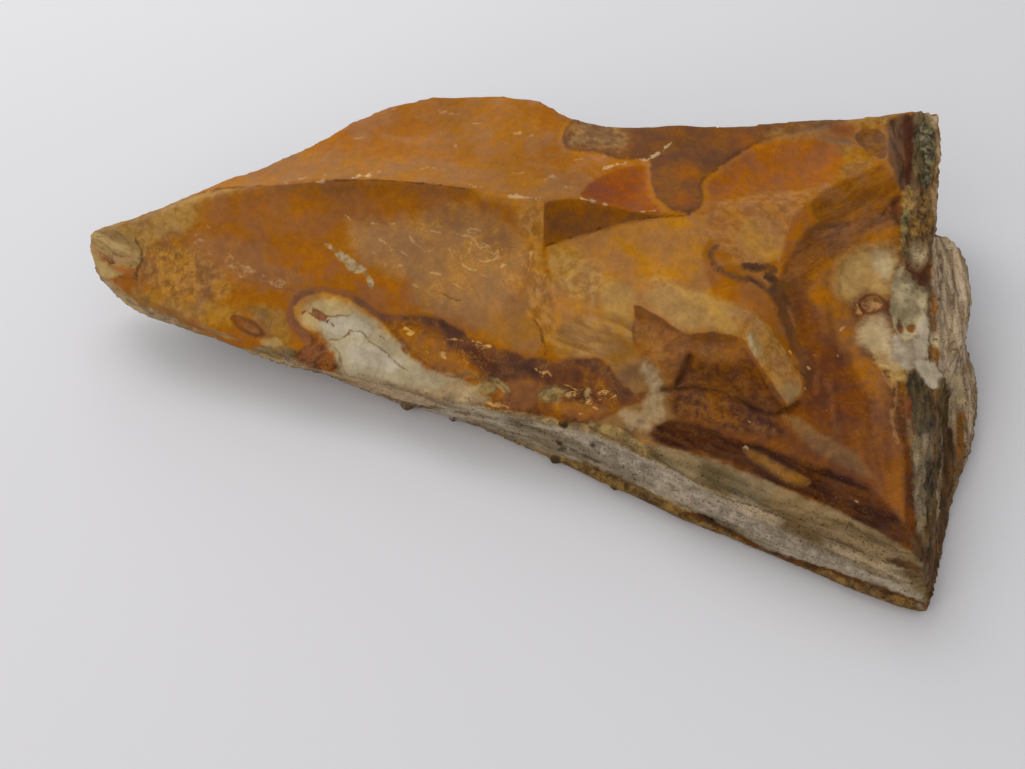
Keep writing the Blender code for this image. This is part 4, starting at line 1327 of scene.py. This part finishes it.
    # Painted shadow along the gap under the brown face
    (veined, "gap", (66, 40, 22), (46, 28, 16), dict(width=2.2, soft=3, rag=8, strength=0.85)),
    # Painted shadow in the gap above the foot
    (veined, "foot_line", (96, 54, 26), (62, 38, 20),
     dict(width=2.2, soft=1.8, rag=10, strength=0.85)),
    (veined, "bruises", (210, 184, 146), (184, 146, 98),
     dict(width=0.5, soft=1.2, rag=12, strength=0.75)),
    (veined, "dust", (198, 164, 122), (176, 138, 94),
     dict(width=0.3, soft=1.1, rag=10, strength=0.55)),
    (veined, "scratches", (206, 170, 112), (184, 140, 82),
     dict(width=0.35, soft=1, rag=7, strength=0.75, bend=5)),
    (veined, "glints", (208, 164, 98), (180, 124, 60),
     dict(width=0.4, soft=1, rag=9, strength=0.85, bend=2.5)),
]
for way, name, light, dark, finish in STAINS:
    colour = way(colour, name, light, dark, **finish)

# Beds of the hidden walls, by height
height = nodes.new("ShaderNodeSeparateXYZ")
links.new(place.outputs["Object"], height.inputs[0])
bed_level = combine(height.outputs["Z"], combine(combine(middle, -0.5), 0.004, "MULTIPLY"))
bed_level = combine(bed_level, combine(combine(broad, -0.5), 0.012, "MULTIPLY"))
beds = nodes.new("ShaderNodeValToRGB")
ramp = beds.color_ramp
BED_RISE = 0.062
BEDS = [(0.0, (132, 98, 44)), (0.03, (118, 84, 38)), (0.045, (78, 50, 26)),
        (0.07, (96, 70, 44)), (0.1, (140, 124, 102)), (0.2, (150, 136, 116)),
        (0.27, (122, 108, 88)), (0.29, (86, 72, 54)), (0.31, (156, 138, 104)),
        (0.36, (128, 108, 70)), (0.42, (104, 76, 40)), (0.5, (134, 108, 74)),
        (0.58, (112, 84, 56)), (0.66, (86, 66, 50)), (0.74, (140, 102, 56)),
        (0.86, (130, 80, 36)), (1.0, (100, 62, 30))]
while len(ramp.elements) < len(BEDS):
    ramp.elements.new(0.5)
for element, (position, shade) in zip(ramp.elements, BEDS):
    element.position = position
    element.color = tone(shade)
links.new(between(bed_level, 0.0, BED_RISE), beds.inputs["Fac"])
bed_colour = blend(between(layers, 0.35, 0.65, 0, 0.5), beds.outputs["Color"],
                   tone((84, 62, 40)))
hidden = combine(1, mark("in_view"), "SUBTRACT")
hidden = between(combine(hidden, combine(ragged, 0.5, "MULTIPLY")), 0.3, 0.7)
colour = blend(hidden, colour, bed_colour)

# Golden hair-fine curls on the milky part, the tip's flank and the ironstone
curl = combine(combine(cloud(210, 5, 0.6, 1.6), -0.5), 0, "ABSOLUTE")
where = combine(between(mark("milk"), -6, 14, 0.15, 0.8), between(mark("gold_mottle"), -6, 8),
                "MAXIMUM")
where = combine(where, between(mark("ironstone"), -2, 4, 0, 0.4), "MAXIMUM")
where = combine(where, between(middle, 0.46, 0.6), "MULTIPLY")
where = combine(where, combine(1, mark("bedded"), "SUBTRACT"), "MULTIPLY")
curls = combine(between(curl, 0.0, 0.03, 1.0, 0.0), where, "MULTIPLY")
colour = blend(combine(curls, 0.55, "MULTIPLY"), colour, tone((204, 158, 88)))

# Black specks and pits on the rough walls, pale specks and pits elsewhere
specks = combine(between(fine, 0.36, 0.44, 1, 0), mark("bedded"), "MULTIPLY")
colour = blend(combine(specks, 0.75, "MULTIPLY"), colour, tone((50, 40, 28)))
colour = blend(between(fine, 0.62, 0.78, 0, 0.25), colour, tone((206, 168, 116)))
colour = blend(between(fine, 0.26, 0.36, 0.5, 0), colour, tone((74, 44, 20)))

# Slow changes of shade over the whole stone
shaded = nodes.new("ShaderNodeHueSaturation")
links.new(combine(between(small, 0.3, 0.7, 0.88, 1.1), between(broad, 0.36, 0.64, 0.94, 1.05),
                  "MULTIPLY"), shaded.inputs["Value"])
links.new(between(middle, 0.35, 0.65, 0.93, 1.06), shaded.inputs["Saturation"])
links.new(colour, shaded.inputs["Color"])
links.new(shaded.outputs[0], surface.inputs["Base Color"])

links.new(between(small, 0.3, 0.7, 0.4, 0.62), surface.inputs["Roughness"])
surface.inputs["Specular IOR Level"].default_value = 0.065

wall_relief = combine(combine(layers, combine(fine, 0.6, "MULTIPLY")), mark("bedded"), "MULTIPLY")
coarse_bump = nodes.new("ShaderNodeBump")
coarse_bump.inputs["Strength"].default_value = 0.5
coarse_bump.inputs["Distance"].default_value = 0.0008
links.new(combine(small, wall_relief), coarse_bump.inputs["Height"])
fine_bump = nodes.new("ShaderNodeBump")
fine_bump.inputs["Strength"].default_value = 0.35
fine_bump.inputs["Distance"].default_value = 0.0002
links.new(fine, fine_bump.inputs["Height"])
links.new(coarse_bump.outputs["Normal"], fine_bump.inputs["Normal"])
links.new(fine_bump.outputs["Normal"], surface.inputs["Normal"])

stone.data.materials.append(jasper)
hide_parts("jasper_stone")
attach(stone, "root")


# The table: a plain pale sheet under even daylight, with one soft lamp behind
# it at the upper left and a broader, warmer one in front at the left.

bpy.ops.object.select_all(action="DESELECT")
bpy.ops.mesh.primitive_plane_add(size=6, location=(0, 0, 0))
table = bpy.context.object
table.name = "table"
sheet = bpy.data.materials.new("pale_sheet")
sheet.use_nodes = True
cloth = sheet.node_tree.nodes["Principled BSDF"]
cloth.inputs["Base Color"].default_value = (0.645, 0.637, 0.645, 1)
cloth.inputs["Roughness"].default_value = 0.8
cloth.inputs["Specular IOR Level"].default_value = 0.1
table.data.materials.append(sheet)

world = bpy.data.worlds.new("studio")
world.use_nodes = True
world.node_tree.nodes["Background"].inputs["Color"].default_value = (0.97, 0.98, 1.0, 1)
world.node_tree.nodes["Background"].inputs["Strength"].default_value = 0.58
bpy.context.scene.world = world

LAMPS = [("window", (-0.3, 0.6, 0.65), (0, 0, 0.02), 0.8, 5.0, (0.97, 0.98, 1.0)),
         ("room", (-0.7, -0.9, 0.75), (0, 0, 0.02), 1.2, 7.0, (1.0, 0.95, 0.92))]
for name, spot, aim, size, power, shade in LAMPS:
    lamp = bpy.data.lights.new(name, "AREA")
    lamp.size = size
    lamp.energy = power
    lamp.color = shade
    lamp_object = bpy.data.objects.new(name, lamp)
    lamp_object.location = spot
    beam = Vector(aim) - Vector(spot)
    lamp_object.rotation_euler = beam.to_track_quat("-Z", "Y").to_euler()
    bpy.context.scene.collection.objects.link(lamp_object)

lens = bpy.data.cameras.new("camera")
lens.lens = LENS
lens.sensor_width = SENSOR
lens.clip_start = 0.01
lens.dof.use_dof = False
camera = bpy.data.objects.new("camera", lens)
camera.location = Vector(view_place * MM)
camera.rotation_euler = (math.radians(90) - VIEW_TILT, 0, 0)
bpy.context.scene.collection.objects.link(camera)
bpy.context.scene.camera = camera
bpy.context.scene.view_settings.view_transform = "Standard"
